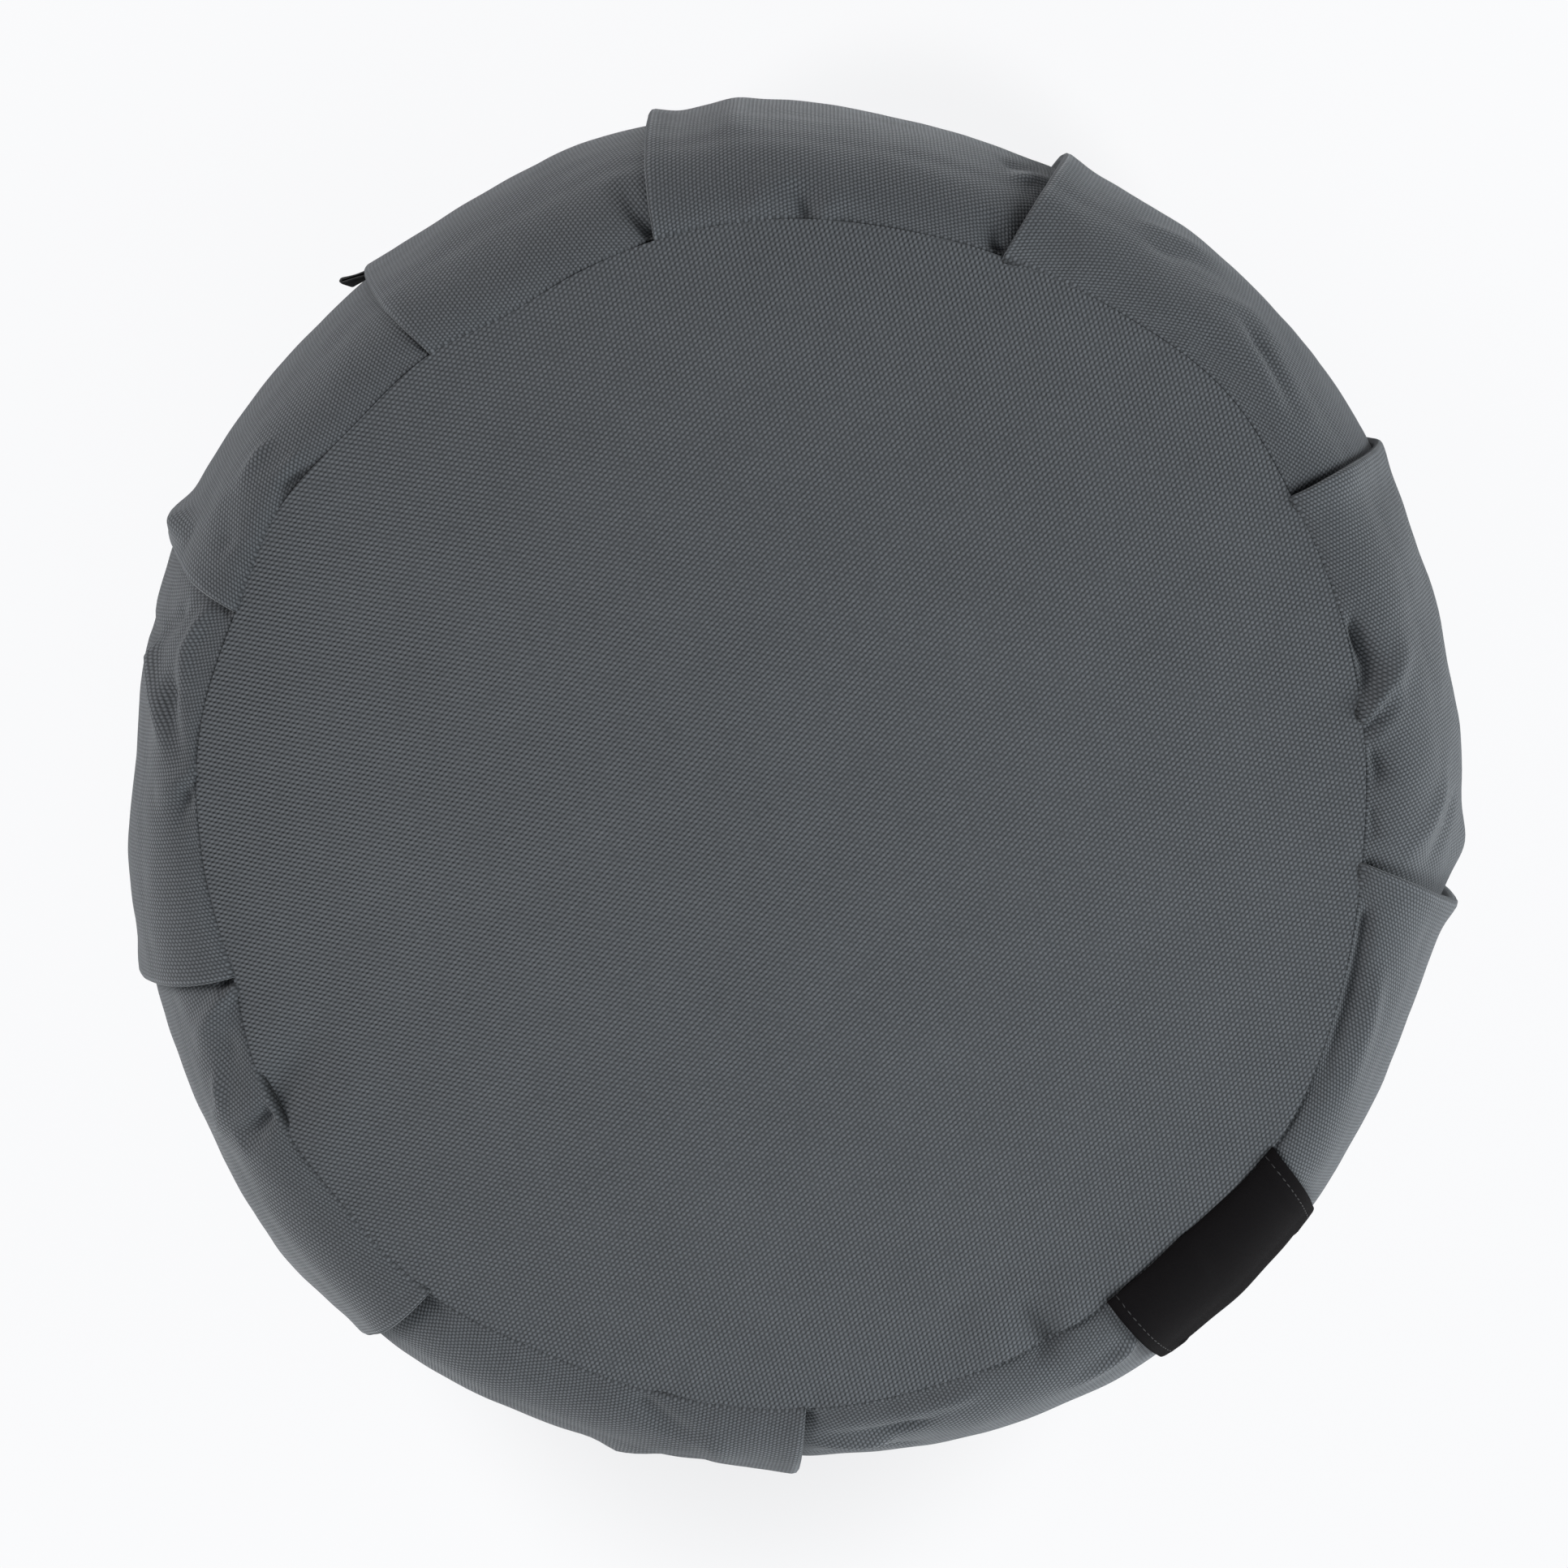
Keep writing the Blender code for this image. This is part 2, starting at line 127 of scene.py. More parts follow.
CREASES = (
    Crease(0, (1.8, 0.01), (1.4, 0.05), (0.4, 0.09), 3.0, -2.9),
    Crease(0, (3.6, 0.01), (4.2, 0.05), (5.0, 0.10), 3.5, 1.2),
    Crease(0, (356.5, 0.02), (358.0, 0.06), (359.0, 0.12), 4.5, 1.3),
    Crease(0, (19.9, 0.02), (19.2, 0.06), (18.0, 0.11), 3.5, -2.3),
    Crease(0, (19.0, 0.24), (21.0, 0.28), (23.0, 0.31), 2.6, 1.4),
    Crease(0, (18.0, 0.29), (20.0, 0.32), (22.0, 0.35), 3.0, -1.3),
    Crease(0, (355.4, 0.16), (355.4, 0.44), (355.6, 0.72), 5.0, 1.5),
    Crease(0, (350.6, 0.20), (350.8, 0.44), (351.0, 0.68), 4.0, -0.9),
    Crease(1, (37.0, 0.07), (45.0, 0.06), (52.0, 0.02), 7.0, -1.7),
    Crease(1, (41.6, 0.20), (47.2, 0.15), (51.6, 0.11), 3.2, -1.9),
    Crease(1, (38.0, 0.18), (42.5, 0.24), (50.5, 0.18), 4.0, 1.0),
    Crease(1, (30.0, 0.25), (35.0, 0.30), (41.0, 0.36), 3.2, 1.0),
    Crease(1, (31.5, 0.20), (35.5, 0.25), (40.0, 0.29), 2.8, -0.8),
    Crease(2, (71.0, 0.02), (73.6, 0.03), (77.4, 0.01), 4.8, -6.6),
    Crease(2, (78.9, 0.01), (76.6, 0.07), (73.7, 0.17), 3.2, 4.4),
    Crease(2, (80.4, 0.01), (79.0, 0.05), (77.0, 0.10), 2.6, -3.4),
    Crease(2, (81.6, 0.00), (79.8, 0.05), (77.2, 0.12), 3.2, 2.6),
    Crease(2, (83.0, 0.01), (84.2, 0.03), (86.0, 0.04), 4.0, -3.6),
    Crease(2, (88.6, 0.01), (90.0, 0.02), (91.4, 0.03), 3.0, -1.7),
    Crease(2, (86.0, 0.25), (90.4, 0.18), (93.4, 0.10), 3.2, 1.7),
    Crease(2, (87.5, 0.31), (91.6, 0.24), (95.0, 0.16), 2.6, -1.4),
    Crease(2, (93.0, 0.30), (93.3, 0.45), (93.5, 0.62), 8.0, 2.5),
    Crease(3, (99.0, 0.02), (108.0, 0.02), (121.0, 0.02), 4.0, -3.2),
    Crease(3, (103.0, 0.08), (110.0, 0.10), (118.0, 0.11), 5.0, 1.9),
    Crease(4, (153.6, 0.01), (154.4, 0.03), (156.0, 0.05), 4.0, -2.4),
    Crease(4, (145.6, 0.12), (149.0, 0.15), (154.0, 0.17), 3.4, 2.4),
    Crease(4, (160.0, 0.05), (168.0, 0.05), (176.6, 0.04), 4.2, 1.6),
    Crease(4, (166.0, 0.10), (171.0, 0.11), (177.6, 0.09), 2.8, -1.9),
    Crease(4, (170.0, 0.17), (174.0, 0.15), (178.6, 0.14), 3.0, 1.7),
    Crease(4, (168.0, 0.24), (173.0, 0.22), (178.8, 0.21), 3.0, -1.3),
    Crease(5, (196.5, 0.34), (193.0, 0.24), (190.0, 0.15), 4.5, 2.2),
    Crease(5, (193.5, 0.03), (191.4, 0.07), (188.0, 0.11), 4.5, -2.6),
    Crease(5, (190.0, 0.24), (187.6, 0.28), (185.6, 0.34), 4.0, -1.7),
    Crease(5, (187.0, 0.08), (186.0, 0.18), (184.4, 0.26), 4.0, 1.2),
    Crease(5, (184.6, 0.28), (184.6, 0.45), (184.6, 0.62), 4.0, -1.0),
    Crease(6, (240.5, 0.02), (239.7, 0.08), (239.6, 0.14), 2.8, -4.4),
    Crease(6, (250.0, 0.05), (246.5, 0.06), (243.0, 0.05), 6.0, -2.0),
    Crease(6, (246.5, 0.10), (243.0, 0.14), (237.5, 0.30), 3.0, 2.0),
    Crease(6, (253.6, 0.00), (252.0, 0.06), (248.8, 0.17), 3.0, 3.4),
    Crease(6, (254.4, 0.01), (254.0, 0.03), (253.4, 0.05), 2.4, -2.3),
    Crease(7, (291.0, 0.07), (286.0, 0.10), (282.0, 0.06), 3.4, 2.6),
    Crease(7, (284.0, 0.14), (279.6, 0.10), (275.4, 0.03), 4.2, -3.2),
    Crease(7, (286.6, 0.26), (281.6, 0.19), (276.8, 0.10), 3.4, 3.2),
    Crease(7, (275.2, 0.00), (273.4, 0.07), (272.4, 0.15), 3.2, 2.4),
    Crease(7, (272.6, 0.03), (271.4, 0.05), (269.4, 0.03), 4.4, -2.6),
    Crease(7, (285.4, 0.22), (285.8, 0.32), (286.4, 0.44), 2.6, -2.0),
    Crease(7, (290.0, 0.14), (287.4, 0.20), (285.0, 0.28), 3.2, -1.9),
    Crease(8, (295.4, 0.22), (295.2, 0.36), (295.4, 0.52), 4.5, 4.9),
    Crease(8, (305.6, 0.01), (304.6, 0.02), (303.4, 0.03), 3.0, -2.3),
    Crease(8, (307.0, 0.13), (304.0, 0.13), (301.4, 0.13), 3.0, 1.6),
    Crease(8, (308.0, 0.05), (306.0, 0.05), (303.6, 0.06), 2.4, 1.3),
    Crease(8, (296.0, 0.06), (297.6, 0.10), (299.0, 0.16), 5.0, -1.2),
    Crease(9, (347.5, 0.01), (346.3, 0.08), (345.0, 0.18), 2.8, -2.3),
)


class Hollow(NamedTuple):
    """The dark hollow at a fold's top end, where the layer below sinks away under the flap.

    Its depth, how far it reaches from the fold and how far down the wall, in millimetres, how
    far the flap's edge stands out where the wall is widest, and how much shade is painted in the fold's
    mouth.
    """

    depth: float
    across: float
    down: float
    ear: float
    dark: float


HOLLOWS = (
    Hollow(2.2, 3.0, 8.0, 1.1, 0.5),
    Hollow(2.2, 5.0, 11.0, 1.0, 0.5),
    Hollow(1.1, 0.8, 14.0, 0.3, 0.5),
    Hollow(1.7, 1.1, 9.0, 0.8, 0.6),
    Hollow(1.6, 4.0, 6.0, 0.3, 0.5),
    Hollow(2.4, 3.0, 6.0, 0.6, 0.5),
    Hollow(3.6, 7.0, 8.0, 0.4, 0.6),
    Hollow(3.2, 3.0, 3.2, 0.3, 0.6),
    Hollow(3.4, 2.2, 15.0, 0.6, 0.85),
    Hollow(2.3, 0.9, 34.0, 0.4, 1.0),
)


class SeamDip(NamedTuple):
    """A part of the top seam where the band lies lower than the panel's edge.

    Its middle and half width in degrees, and its depth in millimetres.
    """

    bearing: float
    half_width: float
    depth: float


SEAM_DIPS = (
    SeamDip(120.0, 5.5, 1.3),
    SeamDip(134.9, 8.0, 1.2),
    SeamDip(108.0, 5.0, 0.7),
    SeamDip(4.0, 9.0, 0.6),
    SeamDip(36.0, 8.0, 0.15),
    SeamDip(62.0, 5.0, 0.25),
    SeamDip(152.5, 4.5, 1.2),
    SeamDip(153.4, 1.7, 1.5),
    SeamDip(238.0, 8.0, 0.5),
    SeamDip(262.0, 4.0, 0.5),
    SeamDip(277.0, 4.0, 0.6),
    SeamDip(306.0, 4.0, 0.7),
)

QUARTERS = np.linspace(0.0, 1.0, 5)


def smooth_through(knots: Any, values: Any, at: np.ndarray) -> np.ndarray:
    """A smooth curve through the knots' values.

    Args:
        knots: Where the values are, rising.
        values: The value at each knot.
        at: The places to read.

    Returns:
        The curve's value at each place.
    """
    knots = np.asarray(knots, float)
    values = np.asarray(values, float)
    slopes = np.gradient(values, knots)
    i = np.clip(np.searchsorted(knots, at, side="right") - 1, 0, len(knots) - 2)
    span = knots[i + 1] - knots[i]
    t = (at - knots[i]) / span
    start = (2 * t**3 - 3 * t**2 + 1) * values[i] + (t**3 - 2 * t**2 + t) * span * slopes[i]
    end = (3 * t**2 - 2 * t**3) * values[i + 1] + (t**3 - t**2) * span * slopes[i + 1]
    return start + end


def on_bearing(bearing: np.ndarray, out: np.ndarray, height: np.ndarray) -> np.ndarray:
    """Points at these bearings, distances from the axis and heights."""
    turn, out, height = np.broadcast_arrays(np.radians(bearing), out, height)
    return np.stack([out * np.sin(turn), out * np.cos(turn), height], -1)


def bearing_of(points: np.ndarray) -> np.ndarray:
    """Bearings of points, in degrees."""
    return np.degrees(np.arctan2(points[..., 0], points[..., 1]))


def half_turn(angle: np.ndarray | float) -> np.ndarray | float:
    """An angle in degrees brought between -180 and 180."""
    return (angle + 180) % 360 - 180


def along_path(place: np.ndarray, corners: list[np.ndarray]) -> tuple[np.ndarray, np.ndarray]:
    """How places lie to a path of straight runs.

    Args:
        place: Places, with two coordinates last.
        corners: The path's corners in order.

    Returns:
        The distance of each place from the path, and how far along the path it is, from 0 to 1.
    """
    nearest = np.full(place.shape[:-1], np.inf)
    along = np.zeros(place.shape[:-1])
    runs = len(corners) - 1
    for number, (start, end) in enumerate(zip(corners, corners[1:])):
        run = end - start
        share = np.clip((place - start) @ run / (run @ run), 0.0, 1.0)
        distance = np.linalg.norm(place - start - share[..., None] * run, axis=-1)
        closer = distance < nearest
        nearest = np.where(closer, distance, nearest)
        along = np.where(closer, (number + share) / runs, along)
    return nearest, along


@dataclass(frozen=True)
class Waves:
    """Slight unevenness of filled cloth, the same on every run."""

    seed: int
    shortest: float
    longest: float
    height: float
    count: int = 18

    def at(self, points: np.ndarray) -> np.ndarray:
        """How far the cloth stands proud at each point.

        Args:
            points: Places in metres, with three coordinates last.

        Returns:
            One height for each point, in metres.
        """
        random = np.random.default_rng(self.seed)
        total = np.zeros(points.shape[:-1])
        for _ in range(self.count):
            heading = random.normal(size=3)
            heading /= np.linalg.norm(heading)
            length = random.uniform(self.shortest, self.longest)
            phase = random.uniform(0, math.tau)
            total += np.sin(points @ heading * math.tau / length + phase)
        return total * self.height / math.sqrt(self.count / 2)


@dataclass(frozen=True)
class Puckers:
    """Small gathers that a seam draws into the cloth beside it, round the whole cushion."""

    seed: int
    height: float
    reach: float
    fewest: int = 58
    most: int = 132
    count: int = 9

    def at(self, bearing: np.ndarray, distance: np.ndarray) -> np.ndarray:
        """How far the gathers stand proud.

        Args:
            bearing: Bearings in degrees.
            distance: Distances from the seam.

        Returns:
            One height for each place, in metres.
        """
        random = np.random.default_rng(self.seed)
        turn = np.radians(bearing)
        total = np.zeros(np.broadcast(turn, distance).shape)
        for _ in range(self.count):
            number = random.integers(self.fewest, self.most)
            slow = random.integers(3, 11)
            phase, drift = random.uniform(0, math.tau, 2)
            total += np.sin(number * turn + phase) * (0.6 + 0.4 * np.sin(slow * turn + drift))
        return total * self.height / math.sqrt(self.count) * np.exp(-distance / self.reach)


@dataclass(frozen=True)
class CushionForm:
    """Sizes of the filled cushion, and the surfaces that its cloth follows.

    A fade is the distance in which a form dies away, in degrees of level for the seam's.
    """

    bottom_seam: float = 6.0 * MM
    seam_to_seam: float = 144.0 * MM
    crown: float = 13.0 * MM
    wall_length: float = 168.0 * MM
    wall_radius: float = 170.0 * MM
    shoulder_puff: float = 0.8 * MM
    shoulder_reach: float = 36.0 * MM
    flat_share: float = 0.8
    step_fade: float = 24.0 * MM
    nose_fade: float = 5.0 * MM
    ear_fade: float = 3.2 * MM
    seam_fade: float = 2.4
    seam_gap: float = 0.06 * MM
    least_dip: float = 0.04 * MM
    dip_fade: float = 2.6 * MM
    mouth_dip: float = 0.7 * MM
    mouth_reach: float = 3.0 * MM
    mouth_at_widest: float = 0.3
    from_the_seam: float = 0.03
    crown_power: float = 2.2
    waves: Waves = Waves(11, 26 * MM, 75 * MM, 0.28 * MM)
    ripples: Waves = Waves(5, 9 * MM, 22 * MM, 0.07 * MM)
    puckers: Puckers = Puckers(3, 0.34 * MM, 8.0 * MM)

    @property
    def top_seam(self) -> float:
        """Height of the top seam."""
        return self.bottom_seam + self.seam_to_seam

    @property
    def middle(self) -> float:
        """Height at which the wall is widest."""
        return self.bottom_seam + self.seam_to_seam / 2

    def span(self, index: int, column: str) -> float:
        """How many degrees lie between a pleat's fold and the next one, clockwise."""
        following = PLEATS[(index + 1) % len(PLEATS)]
        return (getattr(following, column) - getattr(PLEATS[index], column)) % 360

    def seam_radius(self, bearing: np.ndarray) -> np.ndarray:
        """Radius of both seams.

        Args:
            bearing: Bearings in degrees.

        Returns:
            A radius for each bearing, in metres.
        """
        bearings: list[float] = []
        radii: list[float] = []
        for index, pleat in enumerate(PLEATS):
            third = self.span(index, "seam_bearing") / 3
            bearings += [pleat.seam_bearing + third * step for step in range(3)]
            radii += [pleat.seam_at_fold, pleat.seam_third, pleat.seam_two_thirds]
        turns = np.array(bearings) % 360
        order = np.argsort(turns)
        turns = turns[order]
        knots = np.concatenate([turns - 360, turns, turns + 360])
        return smooth_through(knots, np.tile(np.array(radii)[order] * MM, 3), np.asarray(bearing) % 360)

    def puff(self, fall: np.ndarray) -> np.ndarray:
        """How far the wall swells beside either seam."""
        share = np.minimum(np.minimum(fall, 1.0 - fall) * self.wall_length / self.shoulder_reach, 1.0)
        return 4 * self.shoulder_puff * share * (1 - share)

    def wall(
        self, seam: np.ndarray, wide: np.ndarray, level: np.ndarray, proud: np.ndarray
    ) -> tuple[np.ndarray, np.ndarray]:
        """A point of the wall, stood off from its surface.

        Args:
            seam: Radius of the seam.
            wide: Radius of the wall where it is widest.
            level: How far up or down the wall, in degrees.
            proud: How far off the surface, along its normal.

        Returns:
            Distance from the axis, and height.
        """
        angle = np.radians(level)
        bulge = wide - seam
        half = self.seam_to_seam / 2
        out = seam + bulge * np.maximum(np.cos(angle), 0.0)
        height = self.middle + half * np.sin(angle)
        normal_out = half * np.cos(angle)
        normal_up = bulge * np.sin(angle)
        length = np.hypot(normal_out, normal_up)
        return out + proud * normal_out / length, height + proud * normal_up / length

    def creased(self, index: int, bearing: np.ndarray, fall: np.ndarray) -> np.ndarray:
        """How far one stretch's creases stand proud.

        Args:
            index: The pleat that begins the stretch.
            bearing: Bearings in degrees.
            fall: Shares of the way down the wall.

        Returns:
            Heights in metres.
        """
        scale = np.array([math.radians(1) * self.wall_radius, self.wall_length])
        total = np.zeros(np.broadcast(bearing, fall).shape)
        for crease in CREASES:
            if crease.stretch != index:
                continue
            corners = []
            for way_bearing, way_fall in (crease.start, crease.middle, crease.end):
                turn = half_turn(way_bearing - crease.start[0])
                corners.append(np.array([turn, way_fall]) * scale)
            across = half_turn(bearing - crease.start[0]) + np.zeros_like(total)
            place = np.stack([across, fall + np.zeros_like(total)], -1) * scale
            distance, along = along_path(place, corners)
            fade = 1.0 - along**2
            if min(crease.start[1], 1.0 - crease.start[1]) > self.from_the_seam:
                fade = fade * np.minimum(along * 4, 1.0)
            width = crease.half_width * MM * (0.8 + 0.5 * along)
            total += crease.height * MM * fade * np.exp(-((distance / width) ** 2))
        return total

    def seam_dip(self, bearing: np.ndarray) -> np.ndarray:
        """How far the band lies below the top panel's edge.

        Args:
            bearing: Bearings in degrees.

        Returns:
            A depth for each bearing, in metres.
        """
        total = np.full(np.shape(bearing), self.least_dip)
        for dip in SEAM_DIPS:
            away = half_turn(bearing - dip.bearing) / dip.half_width
            total = total + dip.depth * MM * np.exp(-(away**2))
        return total

    def folded(
        self, index: int, from_fold: np.ndarray, to_next: np.ndarray, level: np.ndarray
    ) -> np.ndarray:
        """How far a stretch stands proud because of its own fold and the flap after it.

        Args:
            index: The pleat that begins the stretch.
            from_fold: Distances from its fold.
            to_next: Distances to the next fold.
            level: Levels in degrees.

        Returns:
            Heights in metres.
        """
        pleat = PLEATS[index]
        after = (index + 1) % len(PLEATS)
        steep = np.sin(np.radians(level)) ** 2
        beside = np.minimum(90.0 - level, 90.0 + level) / 180.0 * self.wall_length
        proud = pleat.step / 2 * MM * np.exp(-from_fold / self.step_fade) * steep
        proud = proud - PLEATS[after].step / 2 * MM * np.exp(-to_next / self.step_fade) * steep
        proud = proud + pleat.nose * MM * np.exp(-((from_fold / self.nose_fade) ** 2))
        ear = HOLLOWS[index].ear * MM * np.exp(-from_fold / self.ear_fade) * (1 - steep)
        hollow = HOLLOWS[after]
        mouth = np.exp(-((to_next / (hollow.across * MM)) ** 2))
        sunk = hollow.depth * MM * np.exp(-beside / (hollow.down * MM)) * mouth
        strength = self.mouth_at_widest + (1 - self.mouth_at_widest) * steep
        dip = self.mouth_dip * np.exp(-((to_next / self.mouth_reach) ** 2)) * strength
        return proud + ear - sunk - dip

    def face(self, index: int, along: np.ndarray, level: np.ndarray) -> np.ndarray:
        """Points of one stretch's outer face.

        Args:
            index: The pleat that begins the stretch.
            along: Shares of the way from its fold to the next.
            level: Levels in degrees.

        Returns:
            Points, a row for each level and a column for each share.
        """
        pleat = PLEATS[index]
        along = np.asarray(along, float)[None, :]
        level = np.asarray(level, float)[:, None]
        swing = np.maximum(np.cos(np.radians(level)), 0.0)
        at_seam = pleat.seam_bearing + along * self.span(index, "seam_bearing")
        at_wide = pleat.wide_bearing + along * self.span(index, "wide_bearing")
        bearing = at_seam + half_turn(at_wide - at_seam) * swing
        radii = (pleat.fold, pleat.quarter, pleat.half, pleat.three_quarters, pleat.tucked)
        wide = smooth_through(QUARTERS, radii, along) * MM

        length = math.radians(self.span(index, "seam_bearing")) * self.wall_radius
        from_fold = along * length
        to_next = length - from_fold
        fall = (90.0 - level) / 180.0
        beside = np.minimum(fall, 1 - fall) * self.wall_length
        proud = self.folded(index, from_fold, to_next, level)
        proud = proud + self.creased(index, bearing, fall) + self.puff(fall)
        base = on_bearing(bearing, wide, self.middle + self.seam_to_seam / 2 * np.sin(np.radians(level)))
        proud = proud + self.waves.at(base) + self.ripples.at(base)
        proud = proud + self.puckers.at(bearing, beside)
        near_seam = 1.0 - np.exp(-(90.0 - np.abs(level)) / self.seam_fade)
        proud = proud * near_seam - self.seam_dip(bearing) * np.exp(-beside / self.dip_fade)
        out, height = self.wall(self.seam_radius(at_seam), wide, level, proud)
        return on_bearing(bearing, out, height)

    def top_height(self, share: np.ndarray) -> np.ndarray:
        """Height of the top panel's upper face at a share of the way from its middle to the seam."""
        return self.top_seam + self.crown * (1 - np.asarray(share) ** self.crown_power)

    def bottom_height(self, share: np.ndarray) -> np.ndarray:
        """Height of the bottom panel's lower face: flat, then turned up to the seam."""
        rise = np.clip((np.asarray(share) - self.flat_share) / (1 - self.flat_share), 0, 1)
        return self.bottom_seam * rise**2


class ClothShell:
    """A closed mesh of cloth that grows ring by ring.

    Each point keeps its place in the flat cloth, in metres, how much shade is painted on it and how
    much it is lightened by rubbing and by a painted highlight. The place in the flat cloth becomes the UV
    map that the weave follows.
    """

    def __init__(self) -> None:
        """Starts with no rings."""
        self.points: list[np.ndarray] = []
        self.flat: list[np.ndarray] = []
        self.marks: list[np.ndarray] = []
        self.faces: list[tuple[int, ...]] = []
        self.total = 0
        self.last: np.ndarray | None = None

    def ring(
        self, points: np.ndarray, flat: np.ndarray, recess: Any = 0.0, wear: Any = 0.0
    ) -> None:
        """Adds a ring and joins it to the one before.

        Args:
            points: The ring's points.
            flat: Each point's place in the flat cloth.
            recess: How much shade is painted on each point, from 0 to 1.
            wear: How much each point is lightened by rubbing and a painted highlight, from 0 to 1.
        """
        count = len(points)
        index = np.arange(self.total, self.total + count)
        self.points.append(points)
        self.flat.append(flat)
        marks = np.zeros((count, 2))
        marks[:, 0] = recess
        marks[:, 1] = wear
        self.marks.append(marks)
        if self.last is not None:
            after = np.roll(index, -1)
            last_after = np.roll(self.last, -1)
            self.faces += np.stack([self.last, last_after, after, index], 1).tolist()
        self.last = index
        self.total += count

    def cap(self, point: tuple[float, float, float], flat: tuple[float, float]) -> None:
        """Closes the last ring with triangles to one point.

        Args:
            point: The point.
            flat: Its place in the flat cloth.
        """
        assert self.last is not None
        centre = self.total
        self.points.append(np.array([point]))
        self.flat.append(np.array([flat]))
        self.marks.append(np.zeros((1, 2)))
        after = np.roll(self.last, -1)
        self.faces += [(int(a), int(b), centre) for a, b in zip(self.last, after)]
        self.total += 1
        self.last = None

    def build(self, name: str, material: bpy.types.Material) -> bpy.types.Object:
        """The finished piece, with its faces outwards.

        Args:
            name: The object's name.
            material: Its finish.

        Returns:
            The object, at the origin.
        """
        mesh = bpy.data.meshes.new(name)
        mesh.from_pydata(np.concatenate(self.points).tolist(), [], self.faces)
        flat = np.concatenate(self.flat)
        marks = np.concatenate(self.marks)
        loops = np.empty(len(mesh.loops), dtype=np.int32)
        mesh.loops.foreach_get("vertex_index", loops)
        layer = mesh.uv_layers.new(name="Weave")
        layer.data.foreach_set("uv", flat[loops].astype(np.float32).ravel())
        # Painted shade, and lightening by rubbing and a painted highlight, go to the shader as two
        # attributes.
        for column, title in enumerate(("recess", "wear")):
            mark = mesh.attributes.new(title, "FLOAT", "POINT")
            mark.data.foreach_set("value", marks[:, column].astype(np.float32))
        return finished(name, mesh, material)


def finished(name: str, mesh: bpy.types.Mesh, material: bpy.types.Material) -> bpy.types.Object:
    """A smooth piece from a closed mesh, with its faces outwards.

    Args:
        name: The object's name.
        mesh: Its mesh.
        material: Its finish.

    Returns:
        The object, at the origin, riding on the cushion's body.
    """
    bm = bmesh.new()
    bm.from_mesh(mesh)
    bmesh.ops.recalc_face_normals(bm, faces=bm.faces)
    bm.to_mesh(mesh)
    bm.free()
    mesh.shade_smooth()
    mesh.materials.append(material)
    piece = bpy.data.objects.new(name, mesh)
    bpy.context.scene.collection.objects.link(piece)
    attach(piece, BODY)
    LOG.info("%s: %d faces", name, len(mesh.polygons))
    return piece


